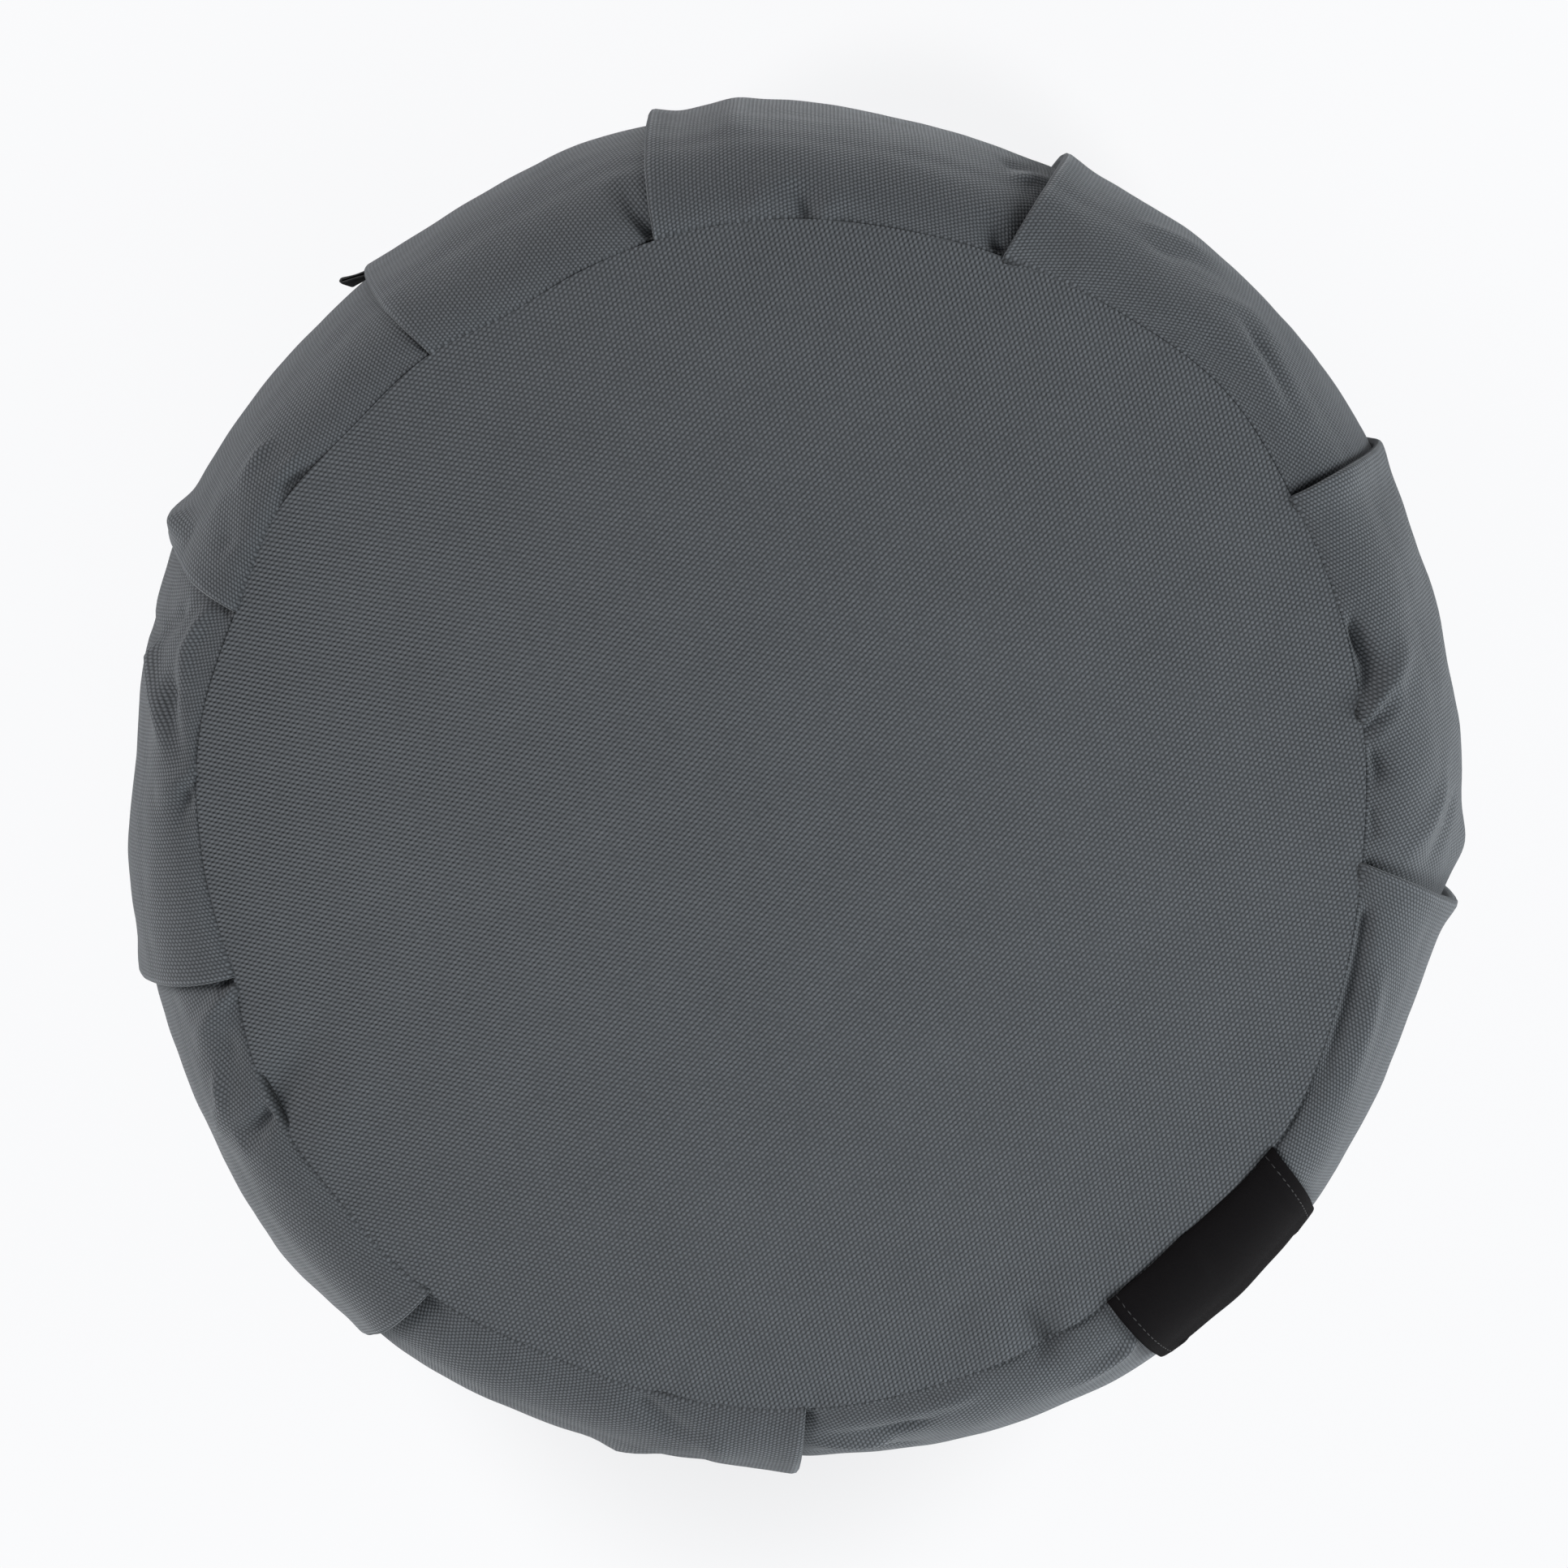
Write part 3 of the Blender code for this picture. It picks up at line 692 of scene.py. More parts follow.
@dataclass
class SideBand:
    """The pleated side of the cushion, filled, from seam to seam.

    A pleat's flap lies on the stretch before it, which runs on below the flap to the tuck's
    depth. The nose is the flap's rounded edge, and the roll is the cloth's turned-in edge at a
    seam. A ledge and a lip lead from there to the floor and the lid, which close the band under
    the panels. Floor rings are a share of the seam's radius and a height, lid rings a share and
    how far they lie below the top panel.
    """

    form: CushionForm
    upper_rows: int = 64
    lower_rows: int = 24
    last_level: float = 88.9
    crowding: float = 0.72
    face_columns: int = 78
    crowd_at_folds: float = 0.6
    mean_seam: float = 146.2 * MM
    mean_swell: float = 30.5 * MM
    drop_swell: float = 31.0 * MM
    tuck_depth: float = 11.0 * MM
    flap_cloth: float = 1.1 * MM
    flap_swell: float = 3.8 * MM
    most_filled: float = 0.88
    nose_reach: float = 2.2 * MM
    least_nose: float = 0.35 * MM
    beside_fold: float = 0.002
    roll: float = 0.12 * MM
    ledge: float = 1.5 * MM
    lip: float = 3.0 * MM
    skew: float = 0.10
    skew_seed: int = 7
    crowd_round: float = 1.09
    crowd_at_seams: float = 0.70
    crowd_reach: float = 18.0
    # Painted shade at the folds' mouths, on the noses, beside the seam dips, on the turned-in rolls and
    # under the flaps, and the reach of the lighter fold edges, partly rubbed cloth and partly a painted
    # highlight, are set below.
    mouth_shade: float = 0.9 * MM
    mouth_spread: float = 0.8
    nose_recess: float = 0.3
    fold_wear_and_highlight_reach: float = 0.8 * MM
    dip_shade: float = 0.28
    darkest_dip: float = 0.6
    dip_reach: float = 1.6 * MM
    roll_recess: float = 0.15
    under_shares: tuple[float, ...] = (1.0, 0.8, 0.55, 0.3, 0.1)
    under_recess: tuple[float, ...] = (1.0, 1.0, 1.0, 0.95, 0.85)
    nose_angles: tuple[float, ...] = (36.0, 72.0, 108.0, 144.0)
    roll_angles: tuple[float, ...] = (25.0, 50.0, 72.0, 90.0)
    floor_rings: tuple[tuple[float, float], ...] = (
        (0.985, 9.6 * MM), (0.8, 3.2 * MM), (0.3, 3.2 * MM),
    )
    lid_rings: tuple[tuple[float, float], ...] = (
        (0.985, 5.5 * MM), (0.85, 5.5 * MM), (0.5, 4.0 * MM), (0.2, 4.0 * MM),
    )
    lid_middle: float = 3.0 * MM

    def levels(self) -> np.ndarray:
        """The levels of the band's rings, closer together beside the seams.

        Returns:
            Levels in degrees, from the top seam to the bottom one.
        """
        reach = math.pi / 2 * self.crowding
        upper = np.linspace(1.0, 0.0, self.upper_rows)
        lower = np.linspace(0.0, -1.0, self.lower_rows)[1:]
        steps = np.concatenate([upper, lower])
        return self.last_level * np.sin(reach * steps) / math.sin(reach)

    def shares(self) -> np.ndarray:
        """Shares along a stretch, closer together beside its two folds."""
        steps = np.linspace(0.0, 1.0, self.face_columns)
        return steps - self.crowd_at_folds * np.sin(math.tau * steps) / math.tau

    def down_the_wall(self, level: np.ndarray) -> np.ndarray:
        """Distance along the cloth from the widest level.

        Args:
            level: Levels in degrees.

        Returns:
            Distances in metres, up positive.
        """
        table = np.radians(np.linspace(-90, 90, 361))
        pace = np.hypot(self.drop_swell * np.sin(table), self.form.seam_to_seam / 2 * np.cos(table))
        from_seam = (90 - np.abs(np.degrees(table))) / self.crowd_reach
        pace = pace * (1 + self.crowd_at_seams * np.exp(-(from_seam**2)))
        run = np.concatenate([[0.0], np.cumsum((pace[1:] + pace[:-1]) / 2 * np.diff(table))])
        return np.interp(np.radians(level), table, run - run[len(table) // 2])

    def columns(self, level: np.ndarray) -> tuple[np.ndarray, np.ndarray, np.ndarray, np.ndarray]:
        """All the band's columns, stretch by stretch, each from under its flap to the next tuck.

        Args:
            level: The rings' levels.

        Returns:
            Points, places in the flat cloth, painted shade, and lightening by rubbing and a painted
            highlight, each a row for each level.
        """
        points: list[np.ndarray] = []
        across: list[np.ndarray] = []
        recess: list[np.ndarray] = []
        wear: list[np.ndarray] = []
        fall: list[np.ndarray] = []
        random = np.random.default_rng(self.skew_seed)
        down = self.down_the_wall(level)
        swing = np.cos(np.radians(level))
        radius = (self.mean_seam + self.mean_swell * swing) * self.crowd_round
        middle = 0.0
        shares = self.shares()
        rows = len(level)
        for index in range(len(PLEATS)):
            spans = self.form.span(index, "seam_bearing"), self.form.span(index, "wide_bearing")
            width = np.radians(spans[0] + (spans[1] - spans[0]) * swing) * radius
            start = np.full((rows, 1), middle)
            end = start + width[:, None]
            middle += math.radians(spans[1]) * self.form.wall_radius * self.crowd_round

            under, inward, share = self.flap(index, level)
            nose = self.nose(index, level, inward, share)
            face = self.form.face(index, shares, level)
            following = self.flap((index + 1) % len(PLEATS), level, whole=True)[0]
            points += [under, nose, face, following[:, ::-1]]

            depth = np.linalg.norm(inward, axis=-1)
            back_run = self.tuck_depth * np.array(self.under_shares)[None, :]
            nose_run = np.linspace(0.8, 0.2, nose.shape[1])[None, :] * depth[:, None]
            gap = shares * width[:, None]
            to_mouth = width[:, None] - gap
            across += [
                start - depth[:, None] - back_run,
                start - nose_run,
                start + gap,
                end + back_run[:, ::-1],
            ]
            lean = random.uniform(-self.skew, self.skew)
            fall.append(down[:, None] + lean * (np.concatenate(across[-4:], 1) - middle))
            # Shade is painted under the flaps, on their noses and in each fold's mouth, as dark as the
            # next hollow's mouth is set.
            inside = np.tile(self.under_recess, (rows, 1))
            dark = HOLLOWS[(index + 1) % len(PLEATS)].dark
            wider = 1 + self.mouth_spread * swing[:, None]
            mouth = dark * np.exp(-((to_mouth / self.mouth_shade / wider) ** 2))
            recess += [inside, np.full(nose.shape[:2], self.nose_recess), mouth, inside[:, ::-1]]
            # Each flap's nose and the face beside its fold are lighter, partly rubbed cloth and partly a
            # painted highlight.
            edge = np.exp(-((gap / self.fold_wear_and_highlight_reach) ** 2))
            no_wear_and_highlight = np.zeros_like(inside)
            wear += [no_wear_and_highlight, np.ones(nose.shape[:2]), edge, no_wear_and_highlight]
        flat = np.stack([np.concatenate(across, 1), np.concatenate(fall, 1)], -1)
        return np.concatenate(points, 1), flat, np.concatenate(recess, 1), np.concatenate(wear, 1)

    def nose(
        self, index: int, level: np.ndarray, inward: np.ndarray, share: np.ndarray
    ) -> np.ndarray:
        """The rounded edge of a pleat's flap, from its underside to its face.

        Args:
            index: The pleat.
            level: The rings' levels.
            inward: The way from the fold down to the cloth below, at each level.
            share: The share of it that the flap's thickness takes.

        Returns:
            Points, a row for each level.
        """
        fold = self.form.face(index, np.array([0.0, self.beside_fold]), level)
        back = fold[:, 0] - fold[:, 1]
        back /= np.maximum(np.linalg.norm(back, axis=-1, keepdims=True), 1e-9)
        half = -inward * share[:, None] / 2
        centre = fold[:, 0] - half
        depth = np.linalg.norm(inward, axis=-1) * share
        reach = np.clip(depth / 2, self.least_nose, self.nose_reach)[:, None]
        turns = np.radians(self.nose_angles)
        return np.stack([centre - half * math.cos(a) + back * reach * math.sin(a) for a in turns], 1)

    def flap(
        self, index: int, level: np.ndarray, whole: bool = False
    ) -> tuple[np.ndarray, np.ndarray, np.ndarray]:
        """The underside of a pleat's flap, or the cloth that lies below it.

        Args:
            index: The pleat.
            level: The rings' levels.
            whole: Whether the layer lies the whole way down, on the cloth before the pleat.

        Returns:
            Points from the tuck's depth to its fold, the way down at each level, and the share
            of it that the flap's thickness takes.
        """
        before = (index - 1) % len(PLEATS)
        length = math.radians(self.form.span(index, "seam_bearing")) * self.form.wall_radius
        mouth = self.form.face(before, np.array([1.0]), level)[:, 0]
        shares = np.array(self.under_shares) * self.tuck_depth / length
        cloth = self.form.face(index, np.concatenate([shares, [0.0]]), level)
        inward = mouth - cloth[:, -1]
        depth = np.maximum(np.linalg.norm(inward, axis=-1), 1e-6)
        thick = self.flap_cloth + self.flap_swell * np.cos(np.radians(level))
        share = np.ones_like(depth) if whole else np.minimum(thick / depth, self.most_filled)
        return cloth[:, :-1] + inward[:, None, :] * share[:, None, None], inward, share

    def build(self, material: bpy.types.Material) -> bpy.types.Object:
        """Makes the band as one closed form, its ends turned in at the seams.

        Args:
            material: Its finish.

        Returns:
            The band's piece.
        """
        level = self.levels()
        points, flat, recess, wear = self.columns(level)
        shell = ClothShell()
        for row in self.end_rings(points[0], flat[0], recess[0], wear[0], up=1.0):
            shell.ring(*row)
        beside = (90.0 - np.abs(level)) / 180.0 * self.form.wall_length
        for row in range(len(level)):
            # Shade is painted on the band beside the top seam where it lies below the panel's edge.
            dip = self.form.seam_dip(bearing_of(points[row])) / MM
            shade = np.minimum(self.dip_shade * dip, self.darkest_dip)
            shade = shade * math.exp(-((beside[row] / self.dip_reach) ** 2))
            shell.ring(points[row], flat[row], np.maximum(recess[row], shade), wear[row])
        for row in reversed(self.end_rings(points[-1], flat[-1], recess[-1], wear[-1], up=-1.0)):
            shell.ring(*row)
        self.close(shell)
        return shell.build("cushion_band", material)

    def end_rings(
        self, points: np.ndarray, flat: np.ndarray, recess: np.ndarray, wear: np.ndarray, up: float
    ) -> list[tuple[np.ndarray, np.ndarray, np.ndarray, np.ndarray]]:
        """The rings that turn the wall's edge in at a seam, from the inside to the wall.

        Args:
            points: The wall's ring beside the seam.
            flat: Its places in the flat cloth.
            recess: Its painted shade.
            wear: Its lightening by rubbing and a painted highlight.
            up: 1 at the top seam and -1 at the bottom one.

        Returns:
            Rings to add to the shell.
        """
        bearing = bearing_of(points)
        out = np.hypot(points[:, 0], points[:, 1])
        inner = self.form.seam_radius(bearing)
        height = points[:, 2]
        rings = []
        # The turning roll gets painted shade and loses its lightening, and the hidden ledge and lip get
        # full painted shade.
        for angle in np.radians(self.roll_angles):
            share = math.sin(angle)
            drop = self.roll * (1 - math.cos(angle))
            place = flat + np.array([0.0, up * (self.roll * angle)])
            ring = on_bearing(bearing, out + (inner - out) * share, height - up * drop)
            rings.append((ring, place, np.maximum(recess, self.roll_recess * share), wear * (1 - share)))
        for inset, drop in ((self.ledge, 0.5 * MM), (self.ledge * 1.3, self.lip)):
            place = flat + np.array([0.0, up * (self.roll * 1.6 + inset + drop)])
            ring = on_bearing(bearing, inner - inset, height - up * (self.roll + drop))
            rings.append((ring, place, np.ones(len(ring)), wear * 0))
        return rings[::-1]

    def close(self, shell: ClothShell) -> None:
        """Closes both ends under the panels.

        Args:
            shell: The band's mesh, whose last ring is at the bottom and whose first is at the top.
        """
        # The hidden floor and lid rings carry full painted shade.
        form = self.form
        flat = shell.flat[-1]
        bearing = bearing_of(shell.points[-1])
        for share, height in self.floor_rings:
            shell.ring(on_bearing(bearing, form.seam_radius(bearing) * share, height), flat, 1.0)
        shell.cap((0.0, 0.0, self.floor_rings[-1][1]), (0.0, 0.0))
        flat = shell.flat[0]
        bearing = bearing_of(shell.points[0])
        shell.last = np.arange(len(bearing))
        for share, drop in self.lid_rings:
            height = form.top_height(share) - drop
            shell.ring(on_bearing(bearing, form.seam_radius(bearing) * share, height), flat, 1.0)
        shell.cap((0.0, 0.0, float(form.top_height(0.0)) - self.lid_middle), (0.0, 0.0))


class PanelCrease(NamedTuple):
    """A ridge or trough of the top panel: two places as bearing and radius, in degrees and mm.

    Its half width and height are millimetres, and dark is how much shade is painted along a tight crease's
    middle.
    """

    start: tuple[float, float]
    end: tuple[float, float]
    half_width: float
    height: float
    dark: float = 0.0


PANEL_CREASES = (
    PanelCrease((241.2, 145.0), (245.8, 125.0), 6.5, -3.4, 0.2),
    PanelCrease((236.0, 138.0), (239.5, 122.0), 7.0, 0.7),
    PanelCrease((248.5, 142.0), (252.0, 128.0), 6.0, 0.6),
    PanelCrease((153.2, 146.0), (154.0, 131.0), 4.6, -2.6, 0.8),
    PanelCrease((158.0, 140.0), (159.4, 127.0), 6.5, 1.8),
    PanelCrease((149.5, 140.0), (149.0, 129.0), 5.0, 1.3),
    PanelCrease((177.0, 146.0), (176.6, 139.0), 2.6, -0.8),
    PanelCrease((192.2, 147.0), (193.4, 139.0), 6.0, -0.5),
    PanelCrease((347.5, 146.0), (346.0, 139.0), 4.0, 0.5),
    PanelCrease((20.8, 148.0), (23.0, 138.0), 5.0, -0.4),
    PanelCrease((76.0, 142.0), (77.0, 130.0), 5.0, -0.5),
    PanelCrease((273.5, 145.0), (272.0, 134.0), 5.0, 0.6),
    PanelCrease((305.0, 146.0), (306.0, 134.0), 5.0, 0.6),
)


@dataclass
class RoundPanel:
    """A round panel of the cushion, sewn in at one of its two seams.

    The slack is how far its dome stretches the weave. Beside the seam it is held flat, except
    round the loose bearing, and its inner face has a ring at each inset from the seam, in mm.
    """

    form: CushionForm
    side: Side
    segments: int = 480
    ring_count: int = 80
    cloth: float = 1.1 * MM
    roll: float = 0.16 * MM
    edge_cloth: float = 0.55 * MM
    thin_edge: float = 2.0 * MM
    weave_angle: float = 46.5
    slack: float = 1.3
    tight: float = 0.5
    calm_edge: float = 12.0 * MM
    held_edge: float = 2.5 * MM
    bottom_fade: float = 16.0 * MM
    # A little painted shade and a painted highlight on the turned edge at the seam.
    edge_recess: float = 0.1
    edge_wear: float = 0.2
    crowding: float = 1.35
    insets: tuple[float, ...] = (34.0, 28.0, 24.0, 20.0, 16.0, 12.0, 8.0, 4.0, 1.6)
    waves: Waves = Waves(21, 45 * MM, 120 * MM, 0.34 * MM)
    ripples: Waves = Waves(8, 12 * MM, 28 * MM, 0.05 * MM)
    puckers: Puckers = Puckers(3, 0.26 * MM, 5.0 * MM)
    loose_bearing: float = 0.0
    loose_width: float = 26.0
    flat: tuple[float, float] = (0.306, 0.306)
    cut_area: float = 0.0706

    @property
    def up(self) -> float:
        """1 on the top panel and -1 on the bottom one."""
        return 1.0 if self.side is Side.TOP else -1.0

    def in_the_flat(self, points: np.ndarray) -> np.ndarray:
        """Places in the flat cloth, across the thick threads and then across the thin ones.

        Args:
            points: Points of the panel.

        Returns:
            Two coordinates for each point, in metres.
        """
        turn = math.radians(self.weave_angle)
        thin = points[:, 0] * math.cos(turn) + points[:, 1] * math.sin(turn)
        thick = -points[:, 0] * math.sin(turn) + points[:, 1] * math.cos(turn)
        domed = 1 + self.slack * (points[:, 0] ** 2 + points[:, 1] ** 2)
        return np.stack([thick, thin], -1) * np.array([1.0, self.up]) * domed[:, None]

    def relief(self, bearing: np.ndarray, out: np.ndarray, edge: np.ndarray) -> np.ndarray:
        """How far the outer face stands proud of its plain form.

        Args:
            bearing: Bearings in degrees.
            out: Distances from the middle.
            edge: Distance from the middle to the edge at each bearing.

        Returns:
            Heights in metres.
        """
        points = on_bearing(bearing, out, np.zeros_like(out))
        from_edge = edge - out
        calm = 1 - np.exp(-((from_edge / self.calm_edge) ** 2))
        loose = np.exp(-((half_turn(bearing - self.loose_bearing) / self.loose_width) ** 2))
        held = 1 - (1 - loose) * np.exp(-((from_edge / self.held_edge) ** 2))
        rise = (self.puckers.at(bearing, from_edge) + self.ripples.at(points)) * held
        if self.side is Side.BOTTOM:
            return rise * np.exp(-((from_edge / self.bottom_fade) ** 2))
        return rise + self.waves.at(points) * calm + self.creased(points)[0]

    def creased(self, points: np.ndarray) -> tuple[np.ndarray, np.ndarray]:
        """How far the top panel's creases stand proud, and how much shade is painted along the tight ones.

        Args:
            points: Points of the panel.

        Returns:
            Heights in metres, and painted shade from 0 to 1.
        """
        rise = np.zeros(len(points))
        recess = np.zeros(len(points))
        for crease in PANEL_CREASES:
            ends = [
                on_bearing(np.array(turn), np.array(far * MM), np.array(0.0))[:2]
                for turn, far in (crease.start, crease.end)
            ]
            distance, along = along_path(points[:, :2], ends)
            off = distance / (crease.half_width * MM)
            rise += crease.height * MM * (1 - along**2) * np.exp(-(off**2))
            # Shade painted along the middle of a tight crease.
            recess += crease.dark * (1 - along) * np.exp(-((off / self.tight) ** 2))
        return rise, recess

    def build(self, material: bpy.types.Material) -> bpy.types.Object:
        """Makes the panel as one closed sheet with its edge turned in at the seam.

        Args:
            material: Its finish.

        Returns:
            The panel's piece.
        """
        bearing = np.arange(self.segments) * 360 / self.segments
        edge = self.form.seam_radius(bearing) - self.form.seam_gap
        plain = self.form.top_height if self.side is Side.TOP else self.form.bottom_height
        shell = ClothShell()
        # The hidden underside and the first edge ring carry full painted shade.
        for ring in self.underside(bearing, edge, plain):
            shell.ring(ring, self.in_the_flat(ring), 1.0)
        shoulder = edge - self.roll
        rise = self.relief(bearing, shoulder, edge)
        height = plain(shoulder / edge) + self.up * rise
        ring = on_bearing(bearing, edge, height - self.up * self.edge_cloth)
        shell.ring(ring, self.in_the_flat(ring), 1.0)
        for angle in np.radians((90.0, 60.0, 30.0)):
            out = shoulder + self.roll * math.sin(angle)
            ring = on_bearing(bearing, out, height - self.up * self.roll * (1 - math.cos(angle)))
            # The turned edge gets a little painted shade and a painted highlight.
            recess = self.edge_recess * math.sin(angle) ** 2
            shell.ring(ring, self.in_the_flat(ring), recess, self.edge_wear)
        steps = np.linspace(1.0, 0.0, self.ring_count)[:-1]
        for step in 1 - (1 - steps) ** self.crowding:
            out = shoulder * step
            rise = self.relief(bearing, out, edge)
            ring = on_bearing(bearing, out, plain(out / edge) + self.up * rise)
            # Shade is painted along the top panel's tight creases.
            recess = self.creased(ring)[1] if self.side is Side.TOP else 0.0
            shell.ring(ring, self.in_the_flat(ring), recess)
        shell.cap(self.middle(plain, edge), (0.0, 0.0))
        shell.last = np.arange(self.segments)
        centre = float(plain(0.0)) - self.up * self.cloth
        shell.cap((0.0, 0.0, centre), (0.0, 0.0))
        name = "top_disc" if self.side is Side.TOP else "bottom_disc"
        return shell.build(name, material)

    def underside(
        self, bearing: np.ndarray, edge: np.ndarray, plain: Callable[[Any], Any]
    ) -> list[np.ndarray]:
        """The rings of the inner face, from the middle outwards.

        Args:
            bearing: Bearings in degrees.
            edge: Distance from the middle to the edge at each bearing.
            plain: The outer face's plain height at a share of the way to the edge.

        Returns:
            The points of each ring.
        """
        rings = []
        for inset in np.array(self.insets) * MM:
            out = edge - inset
            rise = np.minimum(self.relief(bearing, out, edge), 0.0)
            thick = self.cloth if inset > self.thin_edge else self.edge_cloth
            height = plain(out / edge) + self.up * (rise - thick)
            rings.append(on_bearing(bearing, out, height))
        return rings

    def middle(self, plain: Callable[[Any], Any], edge: np.ndarray) -> tuple[float, float, float]:
        """The outer face's point on the axis."""
        rise = self.relief(np.zeros(1), np.zeros(1), edge[:1])[0]
        return 0.0, 0.0, float(plain(0.0) + self.up * rise)


@dataclass
class SideLabel:
    """The bare black label, caught in the top seam and lying over the wall.

    It starts at a fall just below the seam, leans by some degrees on its way down, and stands
    out more at one side by its slant. The ray's sizes are for measuring the room below it.
    """

    form: CushionForm
    bearing: float = 134.9
    width: float = 55.0 * MM
    drop: float = 42.0 * MM
    start: float = 0.003
    seam_spread: float = 1.22
    lean: float = 1.4
    wide_radius: float = 175.4 * MM
    slant: float = 2.4 * MM
    cloth: float = 0.8 * MM
    hem: float = 6.0 * MM
    hem_rise: float = 0.35 * MM
    corner: float = 3.0 * MM
    clearance: float = 0.6 * MM
    sunk_at_seam: float = 1.1 * MM
    belly: float = 1.5 * MM
    wave: float = 0.12 * MM
    wave_pace: float = 17.0
    end_lift: float = 0.3 * MM
    corner_lift: float = 0.9 * MM
    room: float = 0.45 * MM
    ray_start: float = 8.0 * MM
    ray_length: float = 30.0 * MM
    lift_rounds: int = 6
    hem_slope: float = 0.8 * MM
    stitch_inset: float = 3.2 * MM
    pitch: float = 2.3 * MM
    stitch: float = 1.7 * MM
    thread: float = 0.28 * MM
    flat: tuple[float, float] = (0.055, 0.042)
    columns: int = 61
    rows: int = 43
    grid: np.ndarray = field(default_factory=lambda: np.zeros((0, 0, 3)))
    normal: np.ndarray = field(default_factory=lambda: np.zeros((0, 0, 3)))

    def lay(self, band: bpy.types.Object) -> None:
        """Lays the label's inner face over the wall, clear of the cloth under it.

        Args:
            band: The side band that it lies on.
        """
        across = np.linspace(-0.5, 0.5, self.columns)[None, :]
        down = np.linspace(0.0, 1.0, self.rows)[:, None]
        to_end = (1 - down) * self.drop
        rounding = self.corner - np.sqrt(
            np.maximum(self.corner**2 - np.maximum(self.corner - to_end, 0.0) ** 2, 0.0)
        )
        narrow = 1 - 2 * rounding / self.width * (to_end < self.corner)
        spread = np.degrees(across * self.width * narrow / self.form.wall_radius)
        fall = self.start + down * self.drop / self.form.wall_length
        level = 90 - 180 * fall
        bearing = self.bearing + self.lean * down
        bearing = bearing + spread * (self.seam_spread + (1 - self.seam_spread) * down)
        wide = self.wide_radius + self.slant * across
        wave = self.wave * np.sin(across * self.wave_pace + 1.0) * down**2
        proud = self.clearance + self.form.puff(fall) + self.end_lift * down**2 + wave
        proud = proud + self.corner_lift * down**2 * (2 * across) ** 4
        proud = proud + self.belly * down**2 * (1 - (2 * across) ** 2)
        proud = proud - self.sunk_at_seam * np.exp(-down * self.drop / self.form.dip_fade)
        out, height = self.form.wall(self.form.seam_radius(bearing), wide, level, proud)
        self.grid = on_bearing(bearing, out, height)
        self.normal = self.normals()
        self.lift_clear(band)
        self.normal = self.normals()

    def normals(self) -> np.ndarray:
        """Outward normals of the inner face.

        Returns:
            A unit vector for each point of the grid.
        """
        along = np.gradient(self.grid, axis=1)
        down = np.gradient(self.grid, axis=0)
        normal = np.cross(down, along)
        normal /= np.linalg.norm(normal, axis=-1, keepdims=True)
        outward = np.sign((normal[..., :2] * self.grid[..., :2]).sum())
        return normal * outward

    def lift_clear(self, band: bpy.types.Object) -> None:
        """Lifts the inner face wherever the band's cloth comes closer than the room.

        Args:
            band: The side band that it lies on.
        """
        bm = bmesh.new()
        bm.from_mesh(band.data)
        tree = BVHTree.FromBMesh(bm)
        lift = np.zeros(self.grid.shape[:2])
        for row, column in np.ndindex(lift.shape):
            place = Vector(self.grid[row, column])
            way = Vector(self.normal[row, column])
            hit = tree.ray_cast(place + way * self.ray_start, -way, self.ray_length)[0]
            if hit is not None:
                stands = (place - hit).dot(way)
                lift[row, column] = max(self.room - stands, 0.0)
        bm.free()
        for _ in range(self.lift_rounds):
            padded = np.pad(lift, 1, mode="edge")
            mean = (padded[:-2, 1:-1] + padded[2:, 1:-1] + padded[1:-1, :-2] + padded[1:-1, 2:]) / 4
            lift = np.maximum(lift, mean)
        self.grid = self.grid + self.normal * lift[..., None]

    def thickness(self) -> np.ndarray:
        """The label's thickness across its width, more where its two ends are turned in.

        Returns:
            One thickness for each column.
        """
        place = np.abs(np.linspace(-0.5, 0.5, self.columns)) * self.width
        step = np.clip((place - (self.width / 2 - self.hem)) / self.hem_slope, 0.0, 1.0)
        return self.cloth + self.hem_rise * step

    def build(self, band: bpy.types.Object, material: bpy.types.Material) -> bpy.types.Object:
        """Makes the label as one closed sheet.

        Args:
            band: The side band that it lies on.
            material: Its finish.

        Returns:
            The label's piece.
        """
        self.lay(band)
        outer = self.grid + self.normal * self.thickness()[None, :, None]
        bm = bmesh.new()
        uv = bm.loops.layers.uv.new("Weave")
        place: dict[bmesh.types.BMVert, tuple[float, float]] = {}
        sides = []
        for points in (self.grid, outer):
            sheet = []
            for row in range(self.rows):
                line = []
                for column in range(self.columns):
                    vert = bm.verts.new(points[row, column])
                    across = (column / (self.columns - 1) - 0.5) * self.width
                    place[vert] = (across, row / (self.rows - 1) * self.drop)
                    line.append(vert)
                sheet.append(line)
            sides.append(sheet)
        for sheet in sides:
            for upper, lower in zip(sheet, sheet[1:]):
                for i in range(self.columns - 1):
                    bm.faces.new((upper[i], upper[i + 1], lower[i + 1], lower[i]))
        inner_edge, outer_edge = (self.border(sheet) for sheet in sides)
        for i, vert in enumerate(inner_edge):
            j = (i + 1) % len(inner_edge)
            bm.faces.new((vert, inner_edge[j], outer_edge[j], outer_edge[i]))
        for face in bm.faces:
            for loop in face.loops:
                loop[uv].uv = place[loop.vert]
        mesh = bpy.data.meshes.new("side_label_cloth")
        bm.to_mesh(mesh)
        bm.free()
        return finished("side_label_cloth", mesh, material)

